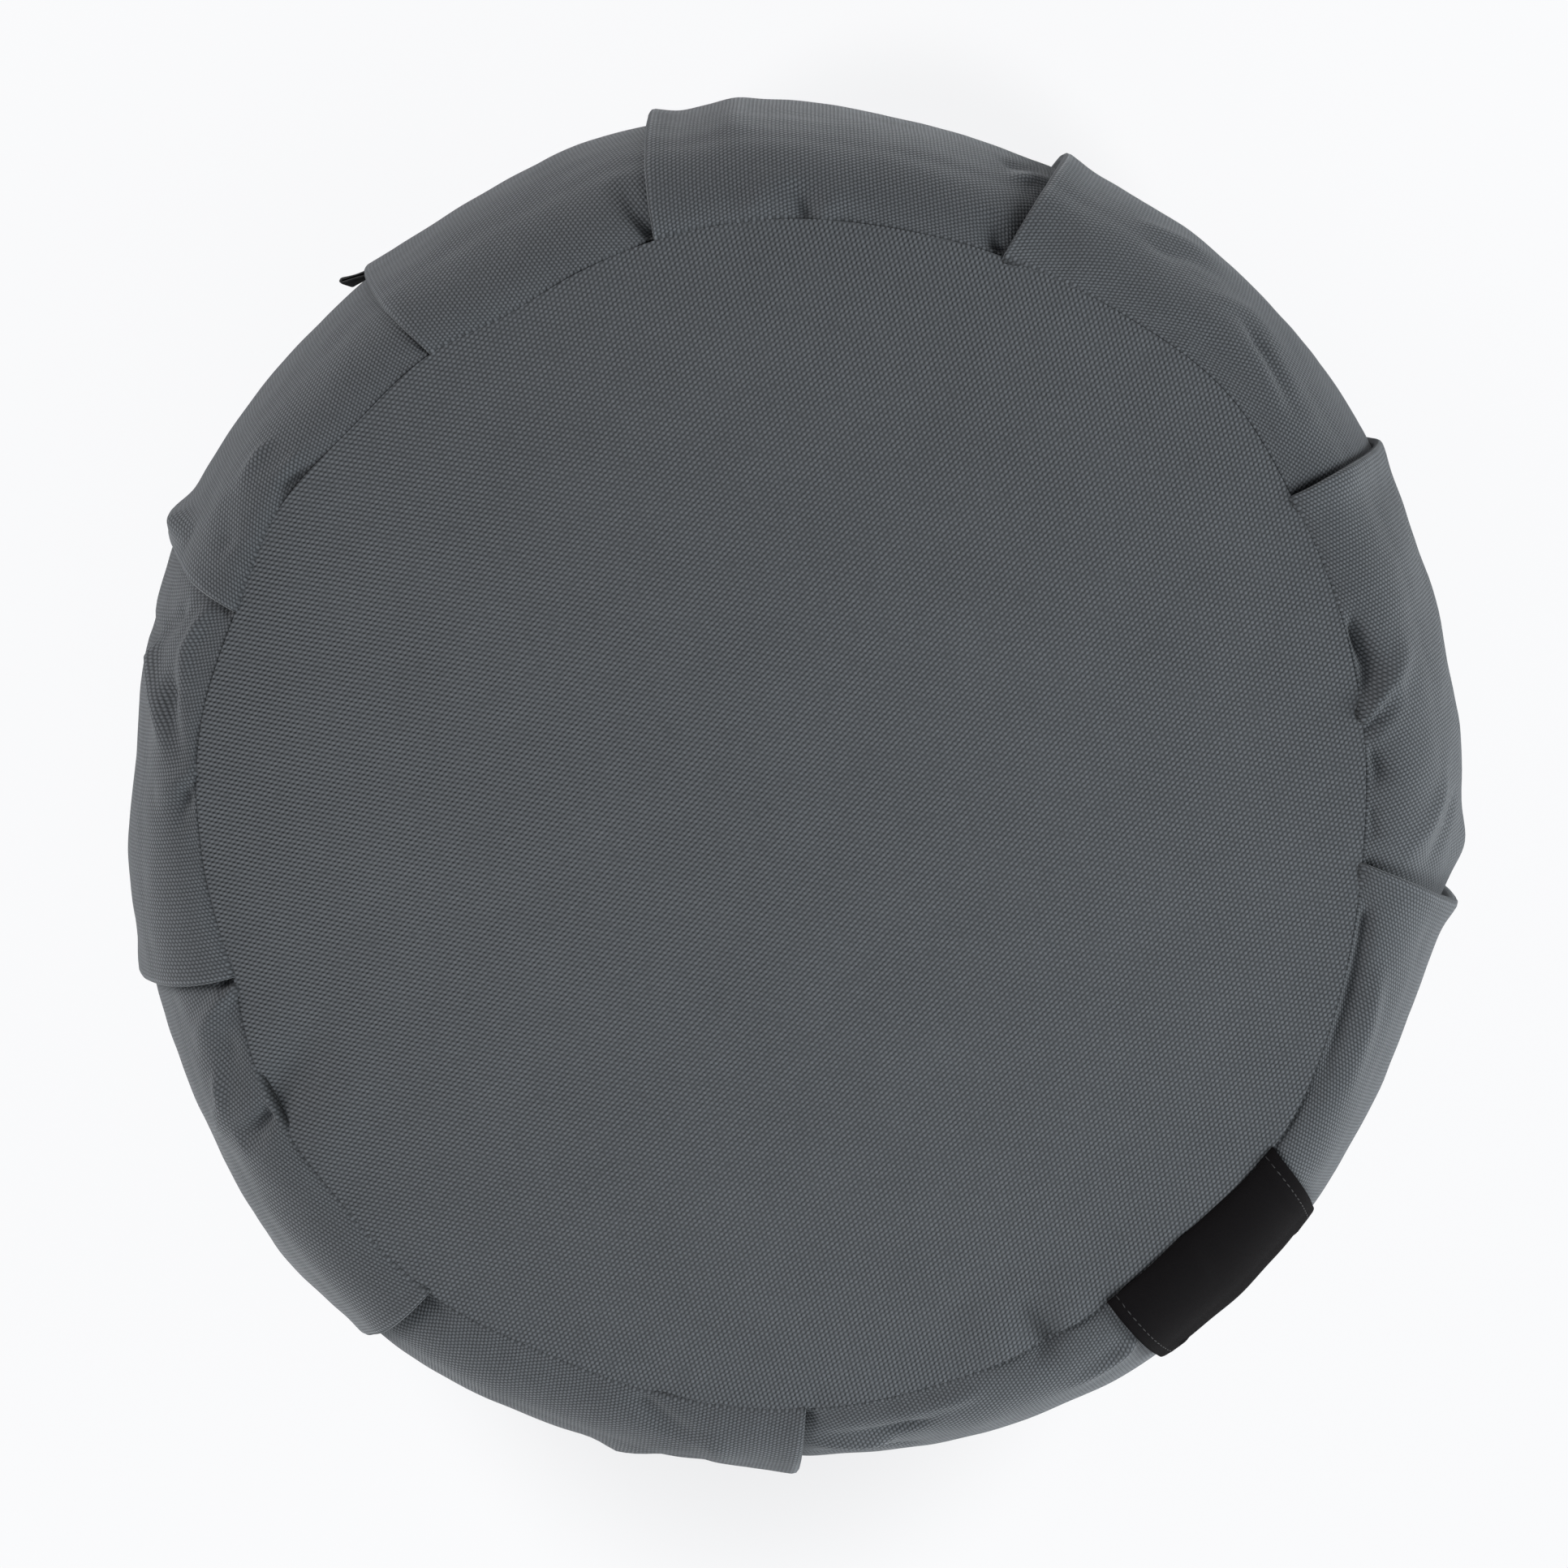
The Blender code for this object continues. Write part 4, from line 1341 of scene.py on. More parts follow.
    @staticmethod
    def border(rows: list[list[bmesh.types.BMVert]]) -> list[bmesh.types.BMVert]:
        """The vertices round the edge of a grid.

        Args:
            rows: The grid's vertices, row by row.

        Returns:
            The vertices in order.
        """
        left = [row[0] for row in rows[-2:0:-1]]
        right = [row[-1] for row in rows[1:-1]]
        return rows[0] + right + rows[-1][::-1] + left

    def stitch_paths(self) -> list[tuple[np.ndarray, np.ndarray]]:
        """The two lines of stitches along the hems.

        Returns:
            For each line, points on the outer face and their normals.
        """
        paths = []
        for across in (self.stitch_inset, self.width - self.stitch_inset):
            column = int(round(across / self.width * (self.columns - 1)))
            points = self.grid[1:-2, column] + self.normal[1:-2, column] * self.thickness()[column]
            paths.append((points, self.normal[1:-2, column]))
        return paths

    def sew(self, stitching: Stitching) -> bpy.types.Object:
        """Sews the two hems.

        Args:
            stitching: The stitches to use.

        Returns:
            The threads' piece.
        """
        return stitching.sew(
            "label_thread",
            self.stitch_paths(),
            False,
            pitch=self.pitch,
            stitch_length=self.stitch,
            thread=self.thread,
            across=0.0,
            unevenness=0.3,
            seed=2,
        )


@dataclass
class TapeLoop:
    """The short black tape, folded in half and caught in the pleat at the upper left.

    Its arms come together towards their middle, and its turn is in degrees from the wall. The
    parts of its width that are rounded, and those that carry a painted highlight, are beside its two
    edges.
    """

    bearing: float = 321.1
    root_radius: float = 175.1 * MM
    height: float = 76.0 * MM
    width: float = 18.0 * MM
    cloth: float = 0.8 * MM
    reach: float = 7.0 * MM
    slot: float = 0.34 * MM
    turn: float = 19.0
    twist: float = 0.10
    pinch: float = 0.3
    pinched_to: float = 0.85
    arm_points: int = 6
    fold_points: int = 13
    rounding: float = 0.18 * MM
    rounded_from: float = 0.86
    faces_from: float = 0.3 * MM
    # Past this distance from the middle, as a share of the width, the tape carries a painted highlight.
    highlight_from: float = 0.44
    flat: tuple[float, float] = (0.018, 0.017)
    rows: int = 25

    def outline(self) -> list[tuple[float, float]]:
        """The folded tape seen from above.

        Returns:
            Places out from the root and across: out, round the fold and back, then the inner face.
        """
        middle = (self.cloth + self.slot) / 2
        outer = middle + self.cloth / 2
        inner = self.slot / 2
        turns = np.radians(np.linspace(0, 180, self.fold_points))
        steps = np.linspace(0.0, self.pinched_to, self.arm_points)
        pinch = [1 - self.pinch * math.sin(step * math.pi) for step in steps]
        way = [(step * self.reach, outer * fat) for step, fat in zip(steps, pinch)]
        way += [(self.reach + outer * math.sin(a), outer * math.cos(a)) for a in turns]
        way += [(step * self.reach, -outer * fat) for step, fat in zip(steps[::-1], pinch[::-1])]
        way += [(0.0, -inner)]
        way += [(self.reach + inner * math.sin(a), inner * math.cos(a)) for a in turns[::-1]]
        way += [(0.0, inner)]
        return way

    def build(self, material: bpy.types.Material) -> bpy.types.Object:
        """Makes the tape as one closed form.

        Args:
            material: Its finish.

        Returns:
            The tape's piece.
        """
        bearing = math.radians(self.bearing)
        root = np.array([math.sin(bearing), math.cos(bearing)]) * self.root_radius
        outline = self.outline()
        run = np.concatenate(
            [[0.0], np.cumsum(np.linalg.norm(np.diff(np.array(outline), axis=0), axis=1))]
        )
        shell = ClothShell()
        for step in np.linspace(-0.5, 0.5, self.rows):
            heading = bearing - math.radians(90 - self.turn) + self.twist * step
            away = np.array([math.sin(heading), math.cos(heading)])
            side = np.array([away[1], -away[0]])
            past = max(0.0, abs(step) * 2 - self.rounded_from) / (1 - self.rounded_from)
            ring = []
            for x, y in outline:
                thin = math.copysign(self.rounding * past, y) if abs(y) > self.faces_from else 0.0
                ring.append((*(root + away * x + side * (y - thin)), self.height + step * self.width))
            place = np.stack([run, np.full(len(run), step * self.width)], -1)
            # The tape's top and bottom edges carry a painted highlight.
            shell.ring(np.array(ring), place, 0.0, 1.0 if abs(step) > self.highlight_from else 0.0)
        shell.last = None
        self.close_ends(shell, len(outline))
        return shell.build("tape_loop_cloth", material)

    def close_ends(self, shell: ClothShell, count: int) -> None:
        """Closes the tape's two edges with strips between its outer and inner faces.

        Args:
            shell: The tape's mesh.
            count: How many points its outline has.
        """
        outside = 2 * self.arm_points + self.fold_points
        outer = list(range(outside))
        inner = list(range(outside, count))[::-1]
        for start in (0, (self.rows - 1) * count):
            steps = np.linspace(0, len(inner) - 1, len(outer)).round().astype(int)
            for i in range(len(outer) - 1):
                a, b = outer[i] + start, outer[i + 1] + start
                c, d = inner[steps[i + 1]] + start, inner[steps[i]] + start
                shell.faces.append((a, b, c) if c == d else (a, b, c, d))


class Stitching:
    """Stitches laid along a path by a Geometry Nodes tree."""

    stray = 0.35
    length_spread = 0.3

    def __init__(self, name: str, material: bpy.types.Material) -> None:
        """Builds the tree.

        Args:
            name: The tree's name.
            material: The thread's finish.
        """
        self.tree = bpy.data.node_groups.new(name, "GeometryNodeTree")
        face = self.tree.interface
        face.new_socket("Geometry", in_out="INPUT", socket_type="NodeSocketGeometry")
        for title in ("Pitch", "Stitch Length", "Thread", "Across", "Unevenness"):
            face.new_socket(title, in_out="INPUT", socket_type="NodeSocketFloat")
        face.new_socket("Seed", in_out="INPUT", socket_type="NodeSocketInt")
        face.new_socket("Geometry", in_out="OUTPUT", socket_type="NodeSocketGeometry")
        self.inputs = self.node("NodeGroupInput")
        curve = self.node("GeometryNodeMeshToCurve", {}, {"Mesh": self.given("Geometry")})
        even = self.node(
            "GeometryNodeResampleCurve",
            {"mode": "LENGTH"},
            {"Curve": curve.outputs["Curve"], "Length": self.given("Pitch")},
        )
        stitch = self.node(
            "GeometryNodeMeshUVSphere", {}, {"Segments": 8, "Rings": 5, "Radius": 0.5}
        )
        soft = self.node("GeometryNodeSetShadeSmooth", {}, {"Geometry": stitch.outputs["Mesh"]})
        place = self.node(
            "GeometryNodeInstanceOnPoints",
            {},
            {
                "Points": even.outputs["Curve"],
                "Instance": soft.outputs["Geometry"],
                "Rotation": self.turned(),
                "Scale": self.scaled(),
            },
        )
        real = self.node("GeometryNodeRealizeInstances", {}, {"Geometry": place.outputs["Instances"]})
        dressed = self.node(
            "GeometryNodeSetMaterial", {}, {"Geometry": real.outputs["Geometry"], "Material": material}
        )
        self.node("NodeGroupOutput", {}, {"Geometry": dressed.outputs["Geometry"]})

    def node(
        self, kind: str, settings: dict[str, Any] | None = None, sockets: dict[Any, Any] | None = None
    ) -> bpy.types.Node:
        """Adds a node.

        Args:
            kind: The node's type.
            settings: Its properties, set first.
            sockets: A value or a link for each input.

        Returns:
            The node.
        """
        made = self.tree.nodes.new(kind)
        for key, value in (settings or {}).items():
            setattr(made, key, value)
        for key, value in (sockets or {}).items():
            if isinstance(value, bpy.types.NodeSocket):
                self.tree.links.new(value, made.inputs[key])
            else:
                made.inputs[key].default_value = value
        return made

    def given(self, title: str) -> bpy.types.NodeSocket:
        """One of the tree's inputs."""
        return self.inputs.outputs[title]

    def turned(self) -> bpy.types.NodeSocket:
        """How each stitch is turned: flat on the cloth, along the path or across it.

        Returns:
            The rotation's socket.
        """
        facing = self.node(
            "GeometryNodeInputNamedAttribute", {"data_type": "FLOAT_VECTOR"}, {"Name": "facing"}
        )
        tangent = self.node("GeometryNodeInputTangent")
        flat = self.node(
            "FunctionNodeAlignRotationToVector",
            {"axis": "Z"},
            {"Vector": facing.outputs["Attribute"]},
        )
        ahead = self.node(
            "FunctionNodeAlignRotationToVector",
            {"axis": "X", "pivot_axis": "Z"},
            {"Rotation": flat.outputs["Rotation"], "Vector": tangent.outputs["Tangent"]},
        )
        stray = self.scatter(self.stray, 1)
        turn = self.node("ShaderNodeMath", {"operation": "ADD"}, {0: self.given("Across"), 1: stray})
        about = self.node("ShaderNodeCombineXYZ", {}, {"Z": turn.outputs[0]})
        euler = self.node("FunctionNodeEulerToRotation", {}, {"Euler": about.outputs[0]})
        whole = self.node(
            "FunctionNodeRotateRotation",
            {"rotation_space": "LOCAL"},
            {"Rotation": ahead.outputs["Rotation"], "Rotate By": euler.outputs[0]},
        )
        return whole.outputs["Rotation"]

    def scatter(self, most: float, step: int) -> bpy.types.NodeSocket:
        """A number for each stitch, spread both ways by the unevenness.

        Args:
            most: The spread where the unevenness is 1.
            step: What is added to the seed.

        Returns:
            The number's socket.
        """
        seed = self.node("ShaderNodeMath", {"operation": "ADD"}, {0: self.given("Seed"), 1: float(step)})
        chance = self.node(
            "FunctionNodeRandomValue",
            {"data_type": "FLOAT"},
            {"Min": -most, "Max": most, "Seed": seed.outputs[0]},
        )
        spread = self.node(
            "ShaderNodeMath",
            {"operation": "MULTIPLY"},
            {0: chance.outputs["Value"], 1: self.given("Unevenness")},
        )
        return spread.outputs[0]

    def scaled(self) -> bpy.types.NodeSocket:
        """The size of each stitch: its length, its width and its height off the cloth.

        Returns:
            The size's socket.
        """
        spread = self.scatter(self.length_spread, 2)
        change = self.node("ShaderNodeMath", {"operation": "ADD"}, {0: spread, 1: 1.0})
        length = self.node(
            "ShaderNodeMath",
            {"operation": "MULTIPLY"},
            {0: self.given("Stitch Length"), 1: change.outputs[0]},
        )
        size = self.node(
            "ShaderNodeCombineXYZ",
            {},
            {"X": length.outputs[0], "Y": self.given("Thread"), "Z": self.given("Thread")},
        )
        return size.outputs[0]

    def sew(
        self, name: str, paths: list[tuple[np.ndarray, np.ndarray]], closed: bool, **sizes: float
    ) -> bpy.types.Object:
        """Sews stitches along paths and makes them one plain mesh.

        Args:
            name: The piece's name.
            paths: Points of each path, and the way that the cloth faces there.
            closed: Whether each path's end joins its start.
            **sizes: The tree's inputs, with _ for a space in their names.

        Returns:
            The piece.
        """
        mesh = bpy.data.meshes.new(name + "_path")
        points = np.concatenate([path for path, _ in paths])
        edges: list[tuple[int, int]] = []
        first = 0
        for path, _ in paths:
            edges += [(first + i, first + i + 1) for i in range(len(path) - 1)]
            if closed:
                edges.append((first + len(path) - 1, first))
            first += len(path)
        mesh.from_pydata(points.tolist(), edges, [])
        facing = mesh.attributes.new("facing", "FLOAT_VECTOR", "POINT")
        ways = np.concatenate([way for _, way in paths]).astype(np.float32)
        facing.data.foreach_set("vector", ways.ravel())
        path_object = bpy.data.objects.new(name + "_path", mesh)
        bpy.context.scene.collection.objects.link(path_object)
        modifier = path_object.modifiers.new("stitches", "NODES")
        modifier.node_group = self.tree
        for item in self.tree.interface.items_tree:
            key = item.name.replace(" ", "_").lower()
            if item.item_type == "SOCKET" and item.in_out == "INPUT" and key in sizes:
                modifier[item.identifier] = sizes[key]
        depsgraph = bpy.context.evaluated_depsgraph_get()
        sewn = bpy.data.meshes.new_from_object(path_object.evaluated_get(depsgraph))
        sewn.name = name
        path_object.modifiers.remove(modifier)
        bpy.data.objects.remove(path_object)
        piece = bpy.data.objects.new(name, sewn)
        bpy.context.scene.collection.objects.link(piece)
        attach(piece, BODY)
        LOG.info("%s: %d faces", name, len(sewn.polygons))
        return piece


@dataclass
class SeamThread:
    """The stitches that close each seam, seen in the groove between the panel and the band."""

    form: CushionForm
    depth: float = 2.5 * MM
    pitch: float = 3.1 * MM
    stitch: float = 1.5 * MM
    thread: float = 0.34 * MM
    steps: int = 720

    def paths(self) -> list[tuple[np.ndarray, np.ndarray]]:
        """A path round each seam.

        Returns:
            For each seam, its points and the way that its groove opens.
        """
        bearing = np.arange(self.steps) * 360 / self.steps
        out = self.form.seam_radius(bearing) - self.form.seam_gap / 2
        found = []
        for height, up in ((self.form.top_seam, 1.0), (self.form.bottom_seam, -1.0)):
            points = on_bearing(bearing, out, height - up * self.depth)
            found.append((points, np.tile([0.0, 0.0, up], (len(points), 1))))
        return found

    def build(self, stitching: Stitching) -> bpy.types.Object:
        """Sews both seams.

        Args:
            stitching: The stitches to use.

        Returns:
            The threads' piece.
        """
        return stitching.sew(
            "seam_thread",
            self.paths(),
            True,
            pitch=self.pitch,
            stitch_length=self.stitch,
            thread=self.thread,
            across=math.pi / 2,
            unevenness=1.0,
            seed=4,
        )


class Sock:
    """A shader socket whose operators add the nodes that work on it."""

    def __init__(self, graph: Graph, socket: bpy.types.NodeSocket) -> None:
        """Wraps an output socket of a graph."""
        self.graph = graph
        self.socket = socket

    def maths(self, operation: str, *others: Sock | float) -> Sock:
        """A Math node on this value and others."""
        return self.graph.add("ShaderNodeMath", {"operation": operation}, dict(enumerate((self, *others))))

    def __add__(self, other: Sock | float) -> Sock:
        """This value plus another."""
        return self.maths("ADD", other)

    def __mul__(self, other: Sock | float) -> Sock:
        """This value times another."""
        return self.maths("MULTIPLY", other)

    def __sub__(self, other: Sock | float) -> Sock:
        """This value less another."""
        return self.maths("SUBTRACT", other)

    def __rsub__(self, other: float) -> Sock:
        """A number less this value."""
        return self.graph.add("ShaderNodeMath", {"operation": "SUBTRACT"}, {0: other, 1: self})

    __radd__ = __add__
    __rmul__ = __mul__


class Graph:
    """A material's node tree, and the few ways that nodes are added to it."""

    def __init__(self, name: str) -> None:
        """Starts a material with a Principled shader.

        Args:
            name: The material's name.
        """
        self.material = bpy.data.materials.new(name)
        self.material.use_nodes = True
        self.tree = self.material.node_tree
        self.shader = self.tree.nodes["Principled BSDF"]

    def add(
        self,
        kind: str,
        settings: dict[str, Any] | None = None,
        sockets: dict[Any, Any] | None = None,
        output: int | str = 0,
    ) -> Sock:
        """Adds a node.

        Args:
            kind: The node's type.
            settings: Its properties, set first.
            sockets: A value or a link for each input.
            output: Which output to read.

        Returns:
            The output, ready for more maths.
        """
        node = self.tree.nodes.new(kind)
        for key, value in (settings or {}).items():
            setattr(node, key, value)
        for key, value in (sockets or {}).items():
            self.feed(node.inputs[key], value)
        return Sock(self, node.outputs[output])

    def feed(self, socket: bpy.types.NodeSocket, value: Any) -> None:
        """Links a socket, or sets its value.

        Args:
            socket: The socket.
            value: What goes into it.
        """
        if isinstance(value, Sock):
            self.tree.links.new(value.socket, socket)
        else:
            socket.default_value = value

    def split(self, vector: Sock) -> tuple[Sock, Sock, Sock]:
        """A vector's three parts.

        Args:
            vector: The vector.

        Returns:
            Its x, y and z.
        """
        node = self.tree.nodes.new("ShaderNodeSeparateXYZ")
        self.feed(node.inputs[0], vector)
        return Sock(self, node.outputs[0]), Sock(self, node.outputs[1]), Sock(self, node.outputs[2])

    def join(self, x: Sock | float, y: Sock | float, z: Sock | float = 0.0) -> Sock:
        """A vector from three parts."""
        return self.add("ShaderNodeCombineXYZ", {}, {0: x, 1: y, 2: z})

    def noise(self, place: Sock, scale: float, detail: float = 2.0, rough: float = 0.5) -> Sock:
        """Smooth noise about 0, from about -0.5 to 0.5."""
        sockets = {"Vector": place, "Scale": scale, "Detail": detail, "Roughness": rough}
        return self.add("ShaderNodeTexNoise", {}, sockets) - 0.5

    def tint(self, colour: Sock | tuple[float, ...], factor: Sock) -> Sock:
        """A colour made lighter or darker.

        Args:
            colour: The colour, linear.
            factor: What each of its parts is multiplied by.

        Returns:
            The new colour.
        """
        value = (*colour, 1.0) if isinstance(colour, tuple) else colour
        grey = self.add("ShaderNodeCombineColor", {}, {0: factor, 1: factor, 2: factor})
        settings = {"data_type": "RGBA", "blend_type": "MULTIPLY", "clamp_result": False}
        return self.add("ShaderNodeMix", settings, {0: 1.0, 6: value, 7: grey}, 2)

    def blend(self, share: Sock, first: Any, second: Any) -> Sock:
        """A colour between two."""
        pair = [(*c, 1.0) if isinstance(c, tuple) else c for c in (first, second)]
        return self.add("ShaderNodeMix", {"data_type": "RGBA"}, {0: share, 6: pair[0], 7: pair[1]}, 2)

    def attribute(self, name: str) -> Sock:
        """One of the piece's own attributes, as a number."""
        return self.add("ShaderNodeAttribute", {"attribute_name": name}, {}, "Fac")

    def bump(self, height: Sock, distance: float, strength: float) -> Sock:
        """A normal tilted by a relief, whose height of 1 stands for the distance in metres."""
        sockets = {"Strength": strength, "Distance": distance, "Height": height}
        return self.add("ShaderNodeBump", {}, sockets)

    def set(self, **values: Any) -> bpy.types.Material:
        """Sets the shader's sockets.

        Args:
            **values: A value or a link for each socket, with _ for a space in its name.

        Returns:
            The material.
        """
        for key, value in values.items():
            self.feed(self.shader.inputs[key.replace("_", " ")], value)
        return self.material


@dataclass(frozen=True)
class Canvas:
    """Dark grey plain-woven canvas, of thick threads one way and thinner ones the other.

    Lines, picks, leaning and crossing are how strongly the thick threads, the thin ones and the
    two diagonals between them show. A slope changes a diagonal with x, with x squared and with
    y squared, in metres.
    """

    name: str
    lines: float
    leaning: float
    crossing: float
    contrast: float
    leaning_slope: tuple[float, float, float] = (0.0, 0.0, 0.0)
    crossing_slope: tuple[float, float, float] = (0.0, 0.0, 0.0)
    colour: tuple[float, float, float] = (0.0785, 0.0840, 0.0925)
    thick_pitch: float = 1.05 * MM
    thin_pitch: float = 0.69 * MM
    picks: float = 0.2
    wander: float = 0.50
    wander_scale: float = 60.0
    slub_scale: float = 200.0
    thick_slubs: float = 1.2
    thin_slubs: float = 0.9
    slub_height: float = 0.7
    flattening: float = 0.13
    cloud: float = 0.14
    mottle: float = 0.12
    lint: float = 0.3
    darkest: float = 0.12
    # How much the painted shade darkens, and how much rubbing and a painted highlight lighten.
    recess_shade: float = 0.8
    wear_light: float = 0.14
    relief: float = 0.075 * MM
    sheen: float = 0.25

    def material(self) -> bpy.types.Material:
        """The canvas, woven along the piece's own UV map.

        Returns:
            The material.
        """
        g = Graph(self.name)
        flat = g.add("ShaderNodeUVMap", {"uv_map": "Weave"}, {}, "UV")
        u, v, _ = g.split(flat)
        slow = g.join(u * self.wander_scale, v * self.wander_scale)
        other = g.join(u * self.wander_scale + 40.0, v * self.wander_scale - 17.0)
        thick = u * (1 / self.thick_pitch) + g.noise(slow, 1.0, 3.0) * self.wander
        thin = v * (1 / self.thin_pitch) + g.noise(other, 1.0, 3.0) * self.wander
        yarns = (thick * math.tau).maths("COSINE") * self.lines
        picks = (thin * math.tau).maths("COSINE") * self.picks
        place = g.add("ShaderNodeTexCoord", {}, {}, "Object")
        x, y, _ = g.split(place)
        lean, cross = (
            x * slope[0] + x * x * slope[1] + y * y * slope[2] + start
            for start, slope in ((self.leaning, self.leaning_slope), (self.crossing, self.crossing_slope))
        )
        leaning = ((thick + thin) * math.pi).maths("COSINE") * lean
        crossing = ((thick - thin) * math.pi).maths("COSINE") * cross
        thick_thread = (thick + 0.5).maths("FLOOR") * 3.7
        slub_thick = g.noise(g.join(thick_thread, v * self.slub_scale), 1.0, 2.0)
        thin_thread = (thin + 0.5).maths("FLOOR") * 3.1
        slub_thin = g.noise(g.join(u * self.slub_scale, thin_thread), 1.0, 2.0)
        uneven = 1.0 + slub_thick * self.thick_slubs + slub_thin * self.thin_slubs
        woven = (yarns + picks + leaning + crossing) * uneven
        height = woven + (slub_thick + slub_thin) * self.slub_height
        height = height * (1.0 - height * self.flattening)
        cloudy = g.noise(place, 9.0, 3.0) * self.cloud + g.noise(place, 60.0, 2.0) * self.mottle
        lint = g.noise(place, 800.0, 2.0, 0.7)
        shade = 1.0 + cloudy + height * self.contrast + lint * self.lint
        shade = shade.maths("MAXIMUM", self.darkest)
        # Painted shade darkens flap undersides, fold mouths, seam dips, turned edges and tight creases;
        # rubbing and a painted highlight lighten the edges.
        shade = shade * (1.0 - g.attribute("recess") * self.recess_shade)
        shade = shade * (1.0 + g.attribute("wear") * self.wear_light)
        normal = g.bump(height + lint * 0.5, self.relief, 0.8)
        return g.set(
            Base_Color=g.tint(self.colour, shade),
            Roughness=0.93,
            Specular_IOR_Level=0.18,
            Sheen_Weight=self.sheen,
            Sheen_Roughness=0.45,
            Sheen_Tint=(0.92, 0.96, 1.0, 1.0),
            Normal=normal,
        )


@dataclass(frozen=True)
class BlackCloth:
    """Close-woven black cloth, as of a label or a tape."""

    name: str
    pitch: float
    colour: tuple[float, float, float]
    worn_and_highlight_colour: tuple[float, float, float]
    diagonal: float = 1.0
    roughness: float = 0.85
    wear: float = 0.10

    def material(self) -> bpy.types.Material:
        """The cloth, ribbed along the piece's own UV map.

        Returns:
            The material.
        """
        g = Graph(self.name)
        flat = g.add("ShaderNodeUVMap", {"uv_map": "Weave"}, {}, "UV")
        u, v, _ = g.split(flat)
        scale = math.tau / self.pitch
        rib = ((u + v * self.diagonal) * scale).maths("SINE")
        pick = ((v - u * self.diagonal * 0.2) * (scale * 0.8)).maths("SINE")
        place = g.add("ShaderNodeTexCoord", {}, {}, "Object")
        soft = g.noise(place, 60.0, 3.0)
        fuzz = g.noise(place, 1500.0, 2.0, 0.7)
        height = rib * 0.5 + pick * 0.3 + fuzz
        # Mixed towards the lighter colour by the cloth's own tone, ribs and fuzz, and on the tape's edges
        # by a painted highlight.
        share = g.attribute("wear") * 0.8 + (self.wear + soft * 0.2 + rib * 0.08 + fuzz * 0.3)
        colour = g.blend(share.maths("MAXIMUM", 0.0), self.colour, self.worn_and_highlight_colour)
        return g.set(
            Base_Color=colour,
            Roughness=self.roughness + soft * 0.1,
            Specular_IOR_Level=0.08,
            Normal=g.bump(height, 0.08 * MM, 0.6),
        )


@dataclass(frozen=True)
class Thread:
    """Twisted sewing thread."""

    name: str
    colour: tuple[float, float, float]

    def material(self) -> bpy.types.Material:
        """The thread, with its twist seen as fine slanting lines.

        Returns:
            The material.
        """
        g = Graph(self.name)
        place = g.add("ShaderNodeTexCoord", {}, {}, "Object")
        x, y, z = g.split(place)
        twist = ((x + y + z) * (math.tau / (0.45 * MM))).maths("SINE")
        shade = 1.0 + twist * 0.18 + g.noise(place, 900.0) * 0.3
        return g.set(
            Base_Color=g.tint(self.colour, shade),
            Roughness=0.6,
            Sheen_Weight=0.1,
            Normal=g.bump(twist, 0.05 * MM, 0.5),
        )


@dataclass(frozen=True)
class Softbox:
    """A large soft lamp that looks at the cushion."""

    name: str
    place: tuple[float, float, float]
    size: float
    power: float
    colour: tuple[float, float, float]
    aim: float = 0.08

    def build(self) -> None:
        """Hangs the lamp, turned to the middle of the cushion."""
        lamp = bpy.data.lights.new(self.name, "AREA")
        lamp.shape = "SQUARE"
        lamp.size = self.size
        lamp.energy = self.power
        lamp.color = self.colour
        holder = bpy.data.objects.new(self.name, lamp)
        holder.location = self.place
        way = Vector((0.0, 0.0, self.aim)) - Vector(self.place)
        holder.rotation_euler = way.to_track_quat("-Z", "Y").to_euler()
        holder.visible_camera = False
        bpy.context.scene.collection.objects.link(holder)


class FloorShade(NamedTuple):
    """A soft shadow painted into the floor's glow beside the cushion.

    Its middle, how much narrower it is than long, where it starts to fade and ends, and how
    much light it takes.
    """

    x: float
    y: float
    narrow: float
    full: float
    none: float
    depth: float


